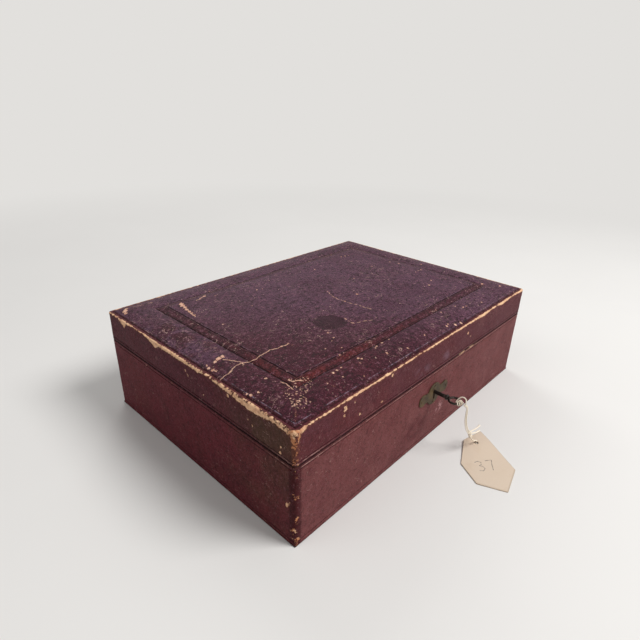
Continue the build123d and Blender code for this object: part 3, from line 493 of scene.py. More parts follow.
def leather(name, place, colour):
    """Dark red grained leather: mottled, flecked where it was rubbed and with painted glints of the grain,
    worn through on edges and cracks, with a painted sheen on the top and a painted lighter front.
    """
    f = Finish(name, colour)
    c = colours()
    x, y, z = f.axes()
    broad = f.noise(20, 3)
    patchy = f.noise(75, 4, 0.6)
    mottle = f.noise(360, 4, 0.65)
    grit = f.noise(900, 3, 0.7)
    grain = f.cells(1050, at=f.shaken(500, 0.0006))
    rubbed = f.painted("wear")
    chipped = rubbed + (f.noise(420, 4, 0.62) - 0.5) * (0.8 + rubbed * 1.3) + (f.noise(1300, 2) - 0.5) * 0.5
    bare = chipped.rise(0.47, 0.54)
    halo = chipped.rise(0.3, 0.47)
    if place == "top":
        f.coat(patchy.rise(0.38, 0.64) * 0.4, srgb(54, 22, 34))
        f.coat(broad.rise(0.45, 0.7) * 0.4, srgb(84, 34, 42))
        # Painted sheen: a bluish grey reflection coated into the top's colour, stronger towards the far side
        # and in patches along the left border
        sheen_amount = 0.35 + grit.rise(0.42, 0.58) * 0.4 + broad.rise(0.35, 0.6) * 0.25
        left_border_sheen = x.rise(-0.117, -0.125) * y.rise(-0.05, 0) * y.rise(0.09, 0.05)
        painted_sheen = (sheen_amount * (x + y).rise(-0.16, -0.01)).most(left_border_sheen * patchy.rise(0.36, 0.6) * 0.9)
        f.coat(painted_sheen * 0.8, srgb(97, 67, 87))
        broken, sunk, stain = top_marks(f)
        bare_colour, gloss = srgb(226, 182, 158), 0.11
        lively, few = 0.85, 1
    else:
        front = y.rise(-0.1065, -0.1075)
        # Painted light: the front face takes the lighter copy of the leather
        f.coat(front, c.leather_front_lit)
        f.coat(z.rise(0.0626, 0.0632) * 0.76, c.leather_lid)
        stained = (y.rise(-0.062, -0.08) * z.rise(0.063, 0.066)).most(y.rise(0.02, -0.12) * 0.55)
        olive = (f.noise(30, 3) * 0.6 + stained * 0.6).rise(0.42, 0.8) * x.rise(-0.148, -0.1495)
        f.coat(olive * 0.8, srgb(80, 58, 42))
        f.coat(patchy.rise(0.42, 0.66) * (0.4 - front * 0.16), srgb(76, 30, 38))
        f.coat(broad.rise(0.5, 0.72) * 0.35, c.leather_red)
        streaks = f.noise(1, 4, 0.6, at=f.scaled(70, 70, 34))
        f.coat(streaks.rise(0.48, 0.66) * (0.22 - front * 0.1), srgb(74, 38, 36))
        f.coat(streaks.rise(0.46, 0.3) * front * 0.2, srgb(142, 92, 90))
        f.coat(f.noise(55, 4, 0.6).rise(0.46, 0.66) * front * 0.3, srgb(92, 44, 46))
        broken, sunk = side_marks(f, bare)
        bare_colour, gloss = c.bare, 0.08
        lively, few, stain = 0.42 - front * 0.12, 0.4, 0
    f.coat(mottle.rise(0.49, 0.37) * lively, c.leather_deep)
    f.coat(grit.rise(0.5, 0.38) * lively, c.leather_deep)
    f.coat(mottle.rise(0.52, 0.64) * grit.rise(0.45, 0.6) * lively * (1 - stain), c.leather_dull)
    # Light flecks, dots and hairlines: rubbed grain, partly painted glints standing in for the grain's glints
    clusters = f.noise(45, 4, 0.7).rise(0.47, 0.58) * f.noise(190, 2).rise(0.5, 0.58)
    dots = (f.cells(300, "F1", at=f.shaken(350, 0.005)) + f.noise(420, 3) * 0.5).rise(0.37, 0.3) * clusters
    flecks = f.noise(560, 4, 0.65).rise(0.645, 0.69) * (0.3 + clusters * 0.5)
    hairs = f.noise(1, 2, 0.5, at=f.scaled(110, 1500, 300, at=f.shaken(30, 0.03)))
    hairs = hairs.most(f.noise(1, 2, 0.5, at=f.scaled(1500, 110, 300, at=f.shaken(26, 0.03))))
    hairs = hairs.rise(0.66, 0.72) * f.noise(28, 3).rise(0.46, 0.6) * 0.55
    f.coat(flecks.most(dots).most(hairs) * few * (1 - stain), c.fleck_and_glint)

    bare = bare.most(broken)
    f.coat(halo * 0.5, srgb(120, 72, 60))
    bare_tone = f.tint(f.noise(260, 4, 0.6).rise(0.4, 0.66) * 0.6, bare_colour, srgb(184, 124, 98))
    bare_tone = f.tint(f.noise(800, 3).rise(0.56, 0.7) * 0.5, bare_tone, srgb(246, 214, 184))
    if place != "top":
        rusty = x.rise(-0.142, -0.148) * y.rise(-0.1, -0.106) * f.noise(220, 4, 0.6).rise(0.34, 0.5)
        bare_tone = f.tint(rusty * 0.9, bare_tone, srgb(184, 116, 78))
    f.coat(bare * 0.96, bare_tone)
    rough = 0.42 + patchy * 0.14 + mottle * 0.16 + bare * 0.3 + flecks * 0.1
    depth = grain.rise(0, 0.22) * 0.4 + grit * 0.6 + mottle * 0.5
    fold = f.bump(broad + patchy * 0.25, 0.0015, 0.35)
    normal = f.bump(depth - sunk - bare * 0.8, 0.0003, 0.9, over=fold)
    return f.surface(rough.least(0.95), normal, {"Specular IOR Level": gloss})


def cover_leather():
    """The matt leather paper under the case, scuffed by tables."""
    f = Finish("cover_paper", srgb(58, 28, 32))
    c = colours()
    grain = f.cells(800)
    scuffs = f.noise(120, 4, 0.7, at=f.scaled(1, 3, 1)).rise(0.58, 0.7)
    f.coat(f.noise(60, 3).rise(0.3, 0.7), c.leather_deep)
    f.coat(scuffs * 0.5, srgb(140, 104, 84))
    normal = f.bump(grain.rise(0, 0.2) - scuffs * 0.5, 0.0002, 0.7)
    return f.surface(0.62 + scuffs * 0.2, normal, {"Specular IOR Level": 0.3})


def pine():
    f = Finish("pine_board", colours().pine)
    rings = f.noise(1.4, 4, 0.6, at=f.scaled(14, 90, 160, at=f.shaken(9, 0.02)))
    pores = f.noise(5, 3, 0.7, at=f.scaled(60, 500, 700))
    f.coat(rings.rise(0.4, 0.62), srgb(168, 116, 68))
    f.coat(pores.rise(0.6, 0.75) * 0.4, srgb(120, 80, 46))
    f.coat(f.noise(30, 3).rise(0.5, 0.8) * 0.4, srgb(128, 96, 66))
    normal = f.bump(rings + pores * 0.4, 0.0004, 0.5)
    return f.surface(0.62 + pores * 0.15, normal)


def velvet():
    """Short napped cloth, crushed in places."""
    f = Finish("velvet_lining", colours().velvet)
    nap = f.noise(1, 4, 0.55, at=f.scaled(34, 60, 34), distortion=0.5)
    pile = f.noise(2600, 2, 0.7)
    rubbed = f.noise(18, 2).rise(0.55, 0.75)
    f.coat(nap.rise(0.3, 0.7) * 0.6, srgb(46, 10, 20))
    f.coat(nap.rise(0.42, 0.25) * 0.4, srgb(116, 42, 58))
    f.coat(rubbed * 0.3, srgb(112, 62, 64))
    normal = f.bump(pile * 0.6 + nap, 0.0005, 0.8)
    sheen = {"Sheen Weight": 0.5, "Sheen Roughness": 0.4, "Sheen Tint": srgb(196, 88, 108)}
    return f.surface(0.75 + pile * 0.2, normal, {**sheen, "Specular IOR Level": 0.15})


def satin():
    f = Finish("satin_lining", colours().satin)
    folds = f.noise(1, 3, 0.5, at=f.scaled(30, 70, 30))
    bands = {"wave_type": "BANDS", "bands_direction": "DIAGONAL"}
    weave = f.node("TexWave", bands, {"Vector": f.at, "Scale": 900})
    foxing = f.noise(40, 4, 0.7).rise(0.62, 0.78)
    f.coat(folds.rise(0.35, 0.7), srgb(108, 30, 46))
    f.coat(foxing * 0.45, srgb(150, 96, 72))
    normal = f.bump(weave * 0.4 + f.noise(1400) * 0.5, 0.00012, 0.5, over=f.bump(folds, 0.002, 0.5))
    return f.surface(0.34 + folds * 0.2, normal, {"Sheen Weight": 0.2})


def wadding():
    f = Finish("cotton_wadding", srgb(226, 220, 204))
    tufts = f.noise(240, 5, 0.75)
    f.coat(tufts.rise(0.4, 0.7), srgb(196, 184, 160))
    return f.surface(0.9 + tufts * 0.08, f.bump(tufts, 0.001, 0.8))


def aged_brass():
    """The escutcheon: brass gone olive brown, brighter where hands and the key rubbed it."""
    c = colours()
    f = Finish("brass_tarnished", c.tarnish)
    clouds = f.noise(260, 4, 0.6)
    pits = f.noise(1500, 2, 0.6).rise(0.62, 0.72)
    rubbed = f.noise(120, 3).rise(0.5, 0.68)
    f.coat(clouds.rise(0.35, 0.65), srgb(86, 70, 47))
    f.coat(rubbed * 0.18, c.brass)
    f.coat(pits * 0.7, srgb(48, 38, 28))
    normal = f.bump(clouds * 0.5 - pits, 0.00012, 0.7)
    return f.surface(0.52 + clouds * 0.2, normal, {"Metallic": 0.55 - pits * 0.4})


def bright_brass():
    c = colours()
    f = Finish("brass_worn", c.brass)
    clouds = f.noise(180, 4, 0.6)
    drawn = f.noise(900, 2, 0.5, at=f.scaled(0.06, 1, 1))
    spots = f.noise(700, 3, 0.6).rise(0.58, 0.68)
    f.coat(clouds.rise(0.4, 0.6) * 0.8, c.tarnish)
    f.coat(spots * 0.6, srgb(58, 42, 28))
    normal = f.bump(drawn * 0.5 + clouds * 0.3, 0.00008, 0.5)
    return f.surface(0.3 + clouds * 0.3, normal, {"Metallic": 1})


def steel(name, dark):
    """Steel, dulled by handling and spotted with old rust."""
    f = Finish(name, colours().steel)
    clouds = f.noise(300, 4, 0.6)
    rust = f.noise(700, 3, 0.6).rise(0.6, 0.7) * f.noise(90).rise(0.42, 0.6)
    f.coat(clouds.rise(0.2, 0.5) * dark, srgb(46, 40, 38))
    f.coat(rust * 0.7, srgb(96, 62, 42))
    normal = f.bump(clouds * 0.4 + rust, 0.0001, 0.6)
    return f.surface(0.36 + clouds * 0.22 + rust * 0.3, normal, {"Metallic": 0.95 - rust * 0.6})


def cotton(name, twists):
    """Twisted cotton: light and shade run round the thread in a spiral along its length."""
    f = Finish(name, colours().string)
    u, v, _ = f.axes(f.node("TexCoord", take="UV"))
    turn = (u * twists + v * 2) * (2 * pi)
    ply = turn.math("SINE", turn)
    fuzz = f.noise(2600, 3, 0.7)
    f.coat(ply.rise(0.1, -0.9) * 0.35, srgb(176, 150, 116))
    f.coat(f.noise(300).rise(0.55, 0.75) * 0.4, srgb(206, 178, 142))
    return f.surface(0.82 + fuzz * 0.1, f.bump(ply * 0.6 + fuzz * 0.6, 0.0001, 0.8))


def tag_paper():
    c = colours()
    f = Finish("tag_paper", c.paper)
    fibres = f.noise(900, 4, 0.7, at=f.scaled(1, 0.4, 1))
    foxed = f.noise(55, 4, 0.6).rise(0.5, 0.78)
    rim = f.painted("wear")
    f.coat(foxed * 0.3, srgb(190, 162, 130))
    f.coat(fibres.rise(0.55, 0.75) * 0.2, srgb(234, 222, 206))
    f.coat(rim.rise(0.4, 1) * 0.45, srgb(150, 128, 104))
    normal = f.bump(fibres + f.noise(60) * 1.5, 0.00012, 0.5)
    return f.surface(0.86 + fibres * 0.08, normal, {"Specular IOR Level": 0.2})


def pencil():
    f = Finish("pencil_mark", colours().pencil)
    graze = f.noise(2200, 2, 0.6)
    f.coat(graze.rise(0.48, 0.66) * 0.7, colours().paper)
    return f.surface(0.7 + graze * 0.1, f.bump(graze, 0.00003, 0.4))


def tab_leather():
    f = Finish("tab_leather", srgb(96, 50, 44))
    grain = f.cells(900)
    f.coat(f.noise(150, 3).rise(0.35, 0.7), srgb(62, 26, 24))
    f.coat(f.noise(420, 3).rise(0.6, 0.72) * 0.4, srgb(150, 104, 84))
    return f.surface(0.55 + grain * 0.4, f.bump(grain.rise(0, 0.2), 0.0002, 0.7))


def studio_floor():
    """Pale and matt. Away from the case the camera sees its plain colour, as in the backdrop."""
    f = Finish("pale_floor", colours().floor)
    x, y, _ = f.axes()
    cloud = f.noise(6, 3)
    f.coat(cloud.rise(0.3, 0.7) * 0.25, srgb(220, 218, 215))
    matt = {"Base Color": f.tone, "Roughness": 0.9 + cloud * 0.05, "Specular IOR Level": 0.1}
    lit = f.node("BsdfPrincipled", None, matt)
    plain = f.node("Emission", None, {"Color": colours().floor})
    away = (x * x + y * y).rise(0.1, 1.3) * f.seen_plainly()
    return f.shown(f.node("MixShader", None, {0: away, 1: lit, 2: plain}))


def studio_air():
    """The world: soft light from all round, and the floor's colour behind the case."""
    f = Finish("studio_air", kept_in="worlds")
    light = f.node("Background", None, {"Color": (1, 1, 1), "Strength": 0.31})
    backdrop = f.node("Background", None, {"Color": colours().floor})
    shader = f.node("MixShader", None, {0: f.seen_plainly(), 1: light, 2: backdrop})
    return f.shown(shader, "OutputWorld")


def keep(obj, body, slot_name, *replaced, finish=None):
    """Gives a new piece its finish and its body, and hides the CAD nodes that it stands for."""
    obj.data.materials.clear()
    obj.data.materials.append(finishes[finish or slot_name])
    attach(obj, body)
    if slot_name:
        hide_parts(*replaced)
    return obj


def add(name, data):
    """A new object in the scene."""
    obj = bpy.data.objects.new(name, data)
    bpy.context.scene.collection.objects.link(obj)
    return obj


def mesh_object(name, points, faces):
    """A new mesh from points in millimetres."""
    mesh = bpy.data.meshes.new(name)
    mesh.from_pydata([[axis * MM for axis in point] for point in points], [], faces)
    return add(name, mesh)


def ring_faces(strips, count, closed=False):
    """Faces between rings of points, each with count points. Closed joins the last ring to the first."""
    rings = strips if closed else strips + 1
    faces = []
    for r in range(strips):
        a, b = r * count, (r + 1) % rings * count
        faces += [(a + i, a + (i + 1) % count, b + (i + 1) % count, b + i) for i in range(count)]
    return faces


def tidy_mesh(obj):
    """Joins doubled points and turns every face outwards."""
    form = bmesh.new()
    form.from_mesh(obj.data)
    bmesh.ops.remove_doubles(form, verts=form.verts, dist=MERGE)
    bmesh.ops.recalc_face_normals(form, faces=form.faces)
    form.to_mesh(obj.data)
    form.free()


def smooth(obj, degrees=40):
    obj.data.shade_smooth()
    obj.data.set_sharp_from_angle(angle=radians(degrees))


def settle(obj):
    """Makes a piece's modifiers part of its mesh."""
    made = bpy.data.meshes.new_from_object(obj.evaluated_get(bpy.context.evaluated_depsgraph_get()))
    obj.modifiers.clear()
    made.name = obj.name
    obj.data = made


def cut(obj, cutter):
    """Takes one mesh out of another."""
    boolean = obj.modifiers.new("cut", "BOOLEAN")
    boolean.operation = "DIFFERENCE"
    boolean.solver = "EXACT"
    boolean.object = cutter
    bpy.context.view_layer.update()
    settle(obj)
    bpy.data.objects.remove(cutter)


def boxes(name, blocks):
    """Loose boxes in one mesh, each from its ranges along x, y and z in millimetres."""
    points, faces = [], []
    for xs, ys, zs in blocks:
        n = len(points)
        points += [(x, y, z) for z in zs for y in ys for x in xs]
        sides = ((0, 2, 3, 1), (4, 5, 7, 6), (0, 1, 5, 4), (2, 6, 7, 3), (0, 4, 6, 2), (1, 3, 7, 5))
        faces += [[n + i for i in side] for side in sides]
    return mesh_object(name, points, faces)


def inset_of(x, y):
    """How far in from the nearest side of the case, in millimetres, for numbers or arrays."""
    return np.minimum(HALF_X - abs(x), HALF_Y - abs(y))


def paint_wear(obj, values):
    attribute = obj.data.attributes.new("wear", "FLOAT", "POINT")
    attribute.data.foreach_set("value", np.clip(values, 0, 1).astype(np.float32))


def places(obj):
    """The mesh's points in millimetres, one row each."""
    found = np.zeros(len(obj.data.vertices) * 3, np.float32)
    obj.data.vertices.foreach_get("co", found)
    return found.reshape(-1, 3).astype(float) / MM


def away_from_line(points, line):
    """Distance of each point from a line of straight runs, in the axes that the line is given in."""
    line = [np.array(p, float) for p in line]
    flat = points[:, : len(line[0])]
    nearest = np.full(len(flat), 1e9)
    for start, end in zip(line, line[1:]):
        run = end - start
        share = np.clip(((flat - start) @ run) / (run @ run), 0, 1)
        nearest = np.minimum(nearest, np.linalg.norm(flat - start - share[:, None] * run, axis=1))
    return nearest


def chip_wear(points, chips, soft=1.4):
    """1 in each chipped place, falling off over a soft edge."""
    wear = np.zeros(len(points))
    for *centre, radius in chips:
        away = np.linalg.norm(points[:, : len(centre)] - np.array(centre), axis=1)
        wear = np.maximum(wear, 0.5 + (radius * 0.75 - away) / (2 * soft))
    return wear


def outline(radius, pitch):
    """Points round the case's plan in millimetres, each with its way outwards."""
    found = []
    turns = ((1, 1, 0), (-1, 1, 90), (-1, -1, 180), (1, -1, 270))
    for side_x, side_y, start in turns:
        cx, cy = side_x * (HALF_X - radius), side_y * (HALF_Y - radius)
        for step in range(9):
            angle = radians(start + 90 * step / 8)
            way = (cos(angle), sin(angle))
            found.append((cx + radius * way[0], cy + radius * way[1], *way))
        run = 2 * (HALF_X - radius) if start in (0, 180) else 2 * (HALF_Y - radius)
        count = int(run / pitch)
        x, y, nx, ny = found[-1]
        for step in range(1, count):
            shift = run * step / count
            found.append((x - ny * shift, y + nx * shift, nx, ny))
    return found


def swept_skin(name, section):
    """A closed strip of leather carried round the case. The section gives (inset, height) in millimetres."""
    radius = sizes().corner_radius / MM
    ring = outline(radius, sizes().leather_pitch / MM)
    points = []
    for x, y, nx, ny in ring:
        for inset, z in section:
            if inset <= radius:
                points.append((x - nx * inset, y - ny * inset, z))
            else:
                limit_x, limit_y = HALF_X - inset, HALF_Y - inset
                points.append((max(-limit_x, min(limit_x, x)), max(-limit_y, min(limit_y, y)), z))
    obj = mesh_object(name, points, ring_faces(len(ring), len(section), closed=True))
    tidy_mesh(obj)
    return obj


def risers(low, high, step, grooves, depth):
    """Points up an outer face, with a tooled line at each given height."""
    heights = list(np.arange(low, high, step))
    marks = []
    for groove in grooves:
        heights = [z for z in heights if abs(z - groove) > 0.9]
        profile = ((-0.55, 0), (-0.25, 0.8), (0, 1), (0.25, 0.8), (0.55, 0))
        marks += [(depth * share, groove + shift) for shift, share in profile]
    return sorted([(0, float(z)) for z in heights] + marks, key=lambda mark: mark[1])


def rounded(corner, radius, start, end, steps=4):
    """Points of a rounded edge in a section, from one angle to another in degrees."""
    turns = [radians(start + (end - start) * i / steps) for i in range(steps + 1)]
    return [(corner[0] + radius * cos(t), corner[1] + radius * sin(t)) for t in turns]


def push(obj, amounts):
    """Moves each point along its normal by its own amount in millimetres."""
    normals = np.zeros(len(obj.data.vertices) * 3, np.float32)
    obj.data.vertex_normals.foreach_get("vector", normals)
    moved = places(obj) + normals.reshape(-1, 3) * np.asarray(amounts)[:, None]
    obj.data.vertices.foreach_set("co", (moved * MM).astype(np.float32).ravel())
    obj.data.update()


def uneven(obj, amount, scale, low, high):
    """Old leather isn't flat: a slow noise moves the outer face between two heights."""
    shifts = []
    for place in places(obj):
        outer = max(abs(place[0]) - HALF_X, abs(place[1]) - HALF_Y) > -0.8 and low < place[2] < high
        shifts.append(amount * (noise.fractal(Vector(place * MM * scale), 0.6, 2, 3) - 0.35) if outer else 0)
    push(obj, shifts)


def rub_in(obj, wear, depth):
    """Lowers worn places a little."""
    push(obj, -depth * np.clip((np.asarray(wear) - 0.45) * 3, 0, 1))


def round_hole(x, z, radius, count=24):
    """A rod through the front leather, for cutting the keyhole's round part."""
    turns = np.linspace(0, 2 * pi, count + 1)[:-1]
    ring = [(x + radius * cos(a), z + radius * sin(a)) for a in turns]
    sides = [(i, i + count, (i + 1) % count + count, (i + 1) % count) for i in range(count)]
    ends = list(range(count)), list(range(2 * count - 1, count - 1, -1))
    return [(px, py, pz) for py in (-110, -106) for px, pz in ring], [*ends, *sides]


def leather_skin(name, section, uneven_from, uneven_to, seats, leaf_z, knuckle_z):
    """The leather round one half of the case, with seats cut for the hinges and the lock."""
    skin = swept_skin(name, section)
    uneven(skin, 0.25, 18, uneven_from, uneven_to)
    leaves = [((x - LEAF_REACH, x + LEAF_REACH), SEAT_Y, leaf_z) for x in HINGE_X]
    cut(skin, boxes("seats", leaves + seats))
    knuckles = [((x - KNUCKLE_REACH, x + KNUCKLE_REACH), KNUCKLE_Y, knuckle_z) for x in HINGE_X]
    cut(skin, boxes("knuckles", knuckles))
    return skin


class CASE_OT_base_skin(bpy.types.Operator):
    """Leather round the base, with its turned-in rim, tooled lines, keyhole and hinge seats"""

    bl_idname = "case.base_skin"
    bl_label = "Base Leather"

    def execute(self, context):
        depth = sizes().groove_depth / MM
        section = [(0, 1)]
        section += risers(2.2, 61.2, 1.6, BASE_LINES, depth)
        section += rounded((0.7, BASE_RIM - 0.7), 0.7, 180, 90)
        section += [(3, BASE_RIM), (6, BASE_RIM), (9, BASE_RIM)]
        section += [(9, 61.5), (1, 61.5), (1, 30), (1, 1)]
        lock_seats = [
            ((-30, 30), (-106, -90), (61, 63)),
            ((KEY_X - 1.2, KEY_X + 1.2), (-110, -106), (KEY_Z - 6.6, KEY_Z)),
        ]
        skin = leather_skin("base_leather_skin", section, 2, 61, lock_seats, (60.2, 63), (60.275, 63))
        hole = mesh_object("keyhole", *round_hole(KEY_X, KEY_Z, PIPE_HOLE))
        tidy_mesh(hole)
        cut(skin, hole)
        points = places(skin)
        x, y, z = points.T
        wear = chip_wear(points, SIDE_CHIPS)
        corners = np.minimum(abs(abs(x) - HALF_X), 9) + np.minimum(abs(abs(y) - HALF_Y), 9)
        far = (x > 0) | (y > 0)
        wear = np.maximum(wear, np.where(far, 0.34 - corners / 9, 0))
        outside = np.maximum(abs(x) - 149.2, abs(y) - 107.2) > 0
        wear = np.maximum(wear, np.where(outside, 0.36 - abs(z - 1.2) / 2.4, 0))
        paint_wear(skin, wear)
        rub_in(skin, wear, 0.15)
        smooth(skin)
        keep(skin, "base", "leather_side", "base_leather")
        return {"FINISHED"}


class CASE_OT_lid_skin(bpy.types.Operator):
    """Leather round the lid's sides, turned in above and below"""

    bl_idname = "case.lid_skin"
    bl_label = "Lid Side Leather"

    def execute(self, context):
        depth = sizes().groove_depth / MM
        section = [(1, 86), (1, 75), (1, 64.05), (8, 64.05), (8, LID_RIM), (5, LID_RIM), (2.5, LID_RIM)]
        section += rounded((0.7, LID_RIM + 0.7), 0.7, 270, 180)
        section += risers(64.4, 85.6, 1.1, (LID_LINE,), depth)
        section += rounded((0.9, EDGE_HEIGHT - 0.9), 0.9, 180, 90, 5)
        turned_in = ((1.3, 0), (1.8, 0), (2.4, 0.05), (3, 0.15), (3, 1))
        section += [(inset, EDGE_HEIGHT - drop) for inset, drop in turned_in]
        link_seat = [((-26, 26), (-106, -90), (62, 64.5))]
        skin = leather_skin("lid_leather_skin", section, 65, 86, link_seat, (62, 64.05), (62, 65.275))
        points = places(skin)
        wear = chip_wear(points, SIDE_CHIPS)
        x, y, z = points.T
        rim = np.where(inset_of(x, y) < 0.9, np.interp(z, [80, 86.5], [0, 0.5]), 0.4)
        rub_in(skin, np.maximum(wear, rim), 0.2)
        paint_wear(skin, wear)
        smooth(skin)
        keep(skin, "lid", "leather_side", "lid_side_leather")
        return {"FINISHED"}


# Insets from the lid's edge, and the padded top's height there
CROWN = ((3.1, 3.8, BORDER, FIELD, 69.5, 110), (86.9, 87.5, 90, 92, 92.8, 92.85))


def crown_height(inset, grooves):
    """Height of the padded top at an inset from the lid's edge, in millimetres."""
    z = float(np.interp(inset, *CROWN))
    swell = sizes().top_swell / MM
    if 3.8 < inset < BORDER:
        z += swell * sin(pi * (inset - 3.8) / (BORDER - 3.8)) ** 0.8
    if inset > FIELD:
        z += 0.35 * exp(-((inset - FIELD - 8) / 6) ** 2) - 0.1 * exp(-((inset - 69.5) / 9) ** 2)
    if grooves:
        depth = sizes().groove_depth / MM
        for place in TOP_LINES:
            z -= depth * exp(-(((inset - place) / 0.42) ** 2))
        z -= 0.12 * exp(-(((inset - SHOULDER_LINE) / 0.3) ** 2))
    return z


def stations(half, dense, step):
    """Places along one axis, closer together at the given insets from both ends."""
    insets = [4.1, 5]
    if dense:
        insets = [3.1, 3.2, 3.45, 3.8, 4.15, 4.45, 4.7, SHOULDER_LINE, 5.1, 5.5, 6.2]
        for place in TOP_LINES:
            insets += [place + d for d in (-1.6, -0.9, -0.5, -0.25, 0, 0.25, 0.5, 0.9, 1.6)]
    filled = []
    for a, b in zip(insets, [*insets[1:], half]):
        count = max(1, round((b - a) / step))
        filled += [a + (b - a) * i / count for i in range(count)]
    filled = [inset for inset in filled if inset < half - 0.2]
    return [inset - half for inset in filled] + [0] + [half - inset for inset in reversed(filled)]


def cushion(name, xs, ys, height, floor_z):
    """A closed low form over a grid, flat underneath."""
    nx, ny = len(xs), len(ys)
    points = [(x, y, height(x, y)) for x in xs for y in ys]
    points += [(x, y, floor_z) for x in xs for y in ys]
    n = nx * ny
    faces = []
    for i in range(nx - 1):
        for j in range(ny - 1):
            a, b, c, d = i * ny + j, (i + 1) * ny + j, (i + 1) * ny + j + 1, i * ny + j + 1
            faces += [(a, b, c, d), (n + d, n + c, n + b, n + a)]
    edge = [i * ny for i in range(nx)] + [(nx - 1) * ny + j for j in range(1, ny)]
    edge += [i * ny + ny - 1 for i in range(nx - 2, -1, -1)] + list(range(ny - 2, 0, -1))
    for a, b in zip(edge, [*edge[1:], edge[0]]):
        faces.append((b, a, n + a, n + b))
    return mesh_object(name, points, faces)


class CASE_OT_lid_top(bpy.types.Operator):
    """The padded top: tooled leather over wadding"""

    bl_idname = "case.lid_top"
    bl_label = "Lid Top"

    def execute(self, context):
        step = sizes().top_pitch / MM

        def skin_height(x, y):
            inset = inset_of(x, y)
            z = crown_height(inset, True)
            ripple = noise.fractal(Vector((x, y, 0)) * 0.035, 0.7, 2, 3) - 0.3
            fade = min(1, max(0, (inset - 4.5) / 10))
            patch = hypot(x + 44.5, y + 36) / 12
            return z + ripple * 0.45 * fade - 0.25 * max(0, min(1, (1.08 - patch) * 6))

        grid = [stations(half, True, step) for half in (HALF_X, HALF_Y)]
        top = cushion("top_leather_skin", *grid, skin_height, TOP_SKIN_FLOOR)
        tidy_mesh(top)
        points = places(top)
        chips = [(*place, radius) for radius, found in TOP_CHIPS.items() for place in found]
        x, y, z = points.T
        wear = np.where(z > 86.3, chip_wear(points, chips, 1.1), 0)
        inset = inset_of(x, y)
        mitre = abs((HALF_X - abs(x)) - (HALF_Y - abs(y)))
        wear = np.maximum(wear, np.where((inset > 3.6) & (inset < 36), 0.3 - mitre / 14, 0))
        paint_wear(top, wear)
        smooth(top, 60)
        keep(top, "lid", "leather_top", "lid_top_leather")

        def wadding_height(x, y):
            return crown_height(inset_of(x, y), False) - SKIN_THICK

        grid = [stations(half, False, 6) for half in (HALF_X, HALF_Y)]
        pad = cushion("wadding_under_top", *grid, wadding_height, WADDING_FLOOR)
        for vertex in pad.data.vertices:
            vertex.co.x *= 0.985
            vertex.co.y *= 0.98
        tidy_mesh(pad)
        smooth(pad)
        keep(pad, "lid", "wadding", "lid_wadding")
        return {"FINISHED"}


class CASE_OT_lid_lining(bpy.types.Operator):
    """The lid's padded satin lining"""

    bl_idname = "case.lid_lining"
    bl_label = "Lid Lining"

    def execute(self, context):
        low, high = (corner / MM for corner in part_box("lid_lining_pad"))
        half_x, half_y = high.x, high.y

        def hang(x, y):
            inset = min(half_x - abs(x), half_y - abs(y))
            along = x if half_y - abs(y) < half_x - abs(x) else y
            fall = 2.7 * (1 - exp(-max(0, inset) / 9))
            gather = 0.35 * sin(along * 0.9 + 2 * noise.noise(Vector((x, y, 3)) * 0.06))
            gather *= exp(-inset / 12) * min(1, inset / 2)
            return high.z - 0.25 - fall + gather - 0.3 * noise.noise(Vector((x, y, 9)) * 0.03)

        xs = list(np.linspace(low.x + 0.1, half_x - 0.1, 121))
        ys = list(np.linspace(low.y + 0.1, half_y - 0.1, 87))
        pad = cushion("satin_lid_pad", xs, ys, hang, high.z)
        tidy_mesh(pad)
        smooth(pad, 60)
        keep(pad, "lid", "satin", "lid_lining_pad")
        return {"FINISHED"}


class CASE_OT_cloth_boards(bpy.types.Operator):
    """Velvet covered linings, ledges, dividers and the lift-out tray"""

    bl_idname = "case.cloth_boards"
    bl_label = "Velvet Boards"

    def execute(self, context):
        bodies = frame["record"]["behaviour"]["bodies"]
        slots = {part["node"]: part["material_slot"] for part in frame["record"]["subparts"]}
        for body, names in bodies.items():
            for name in names:
                if slots[name] == "velvet":
                    self.cover(name, body)
        return {"FINISHED"}

    def cover(self, name, body):
        low, high = (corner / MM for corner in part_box(name))
        piece = boxes(f"velvet_{name}", [((low.x, high.x), (low.y, high.y), (low.z, high.z))])
        bevel = piece.modifiers.new("rounded", "BEVEL")
        bevel.width = min(sizes().cloth_edge, min(high - low) * MM * 0.4)
        bevel.segments = 3
        bpy.context.view_layer.update()
        settle(piece)
        smooth(piece, 60)
        keep(piece, body, "velvet", name)


# How many times its own thickness a frayed tail has at each of its points
FRAYING = (1.1, 1.2, 1.3, 1.7)


def curve_object(name, lines, diameter, frayed=()):
    """Round threads, each along one smooth spline through millimetre control points."""
    curve = bpy.data.curves.new(name, "CURVE")
    curve.dimensions = "3D"
    curve.resolution_u = 8
    curve.bevel_depth = diameter / 2
    curve.bevel_resolution = 3
    curve.use_fill_caps = True
    for index, line in enumerate(lines):
        spline = curve.splines.new("NURBS")
        spline.points.add(len(line) - 1)
        for point, place in zip(spline.points, line):
            point.co = (*[axis * MM for axis in place], 1)
        if index in frayed:
            for point, radius in zip(spline.points, FRAYING):
                point.radius = radius
        spline.order_u = 3
        spline.use_endpoint_u = True
    return add(name, curve)


def knot_line(centre, along, size, turns=2.6):
    """A thread wound over itself into a small knot about a centre, along a direction."""
    along = Vector(along).normalized()
    side = along.orthogonal().normalized()
    other = along.cross(side)
    line = []
    for step in range(25):
        t = step / 24
        angle = 2 * pi * turns * t
        bulge = size * (0.62 + 0.38 * sin(pi * t) + 0.16 * sin(3 * angle / 2))
        shift = size * 0.9 * sin(2 * pi * t * 1.5)
        place = Vector(centre) + along * shift + (side * cos(angle) + other * sin(angle)) * bulge
        line.append(tuple(place))
    return line


TAG_HOLE = (18, -141.5)
HOLE_RADIUS = 1.6
TAG_OUTLINE = ((14.5, -132.5), (34.9, -136.8), (11.5, -176.3), (-14, -182), (-22, -162.2), (-11.3, -144))
TAG_REST = (-14, -182)
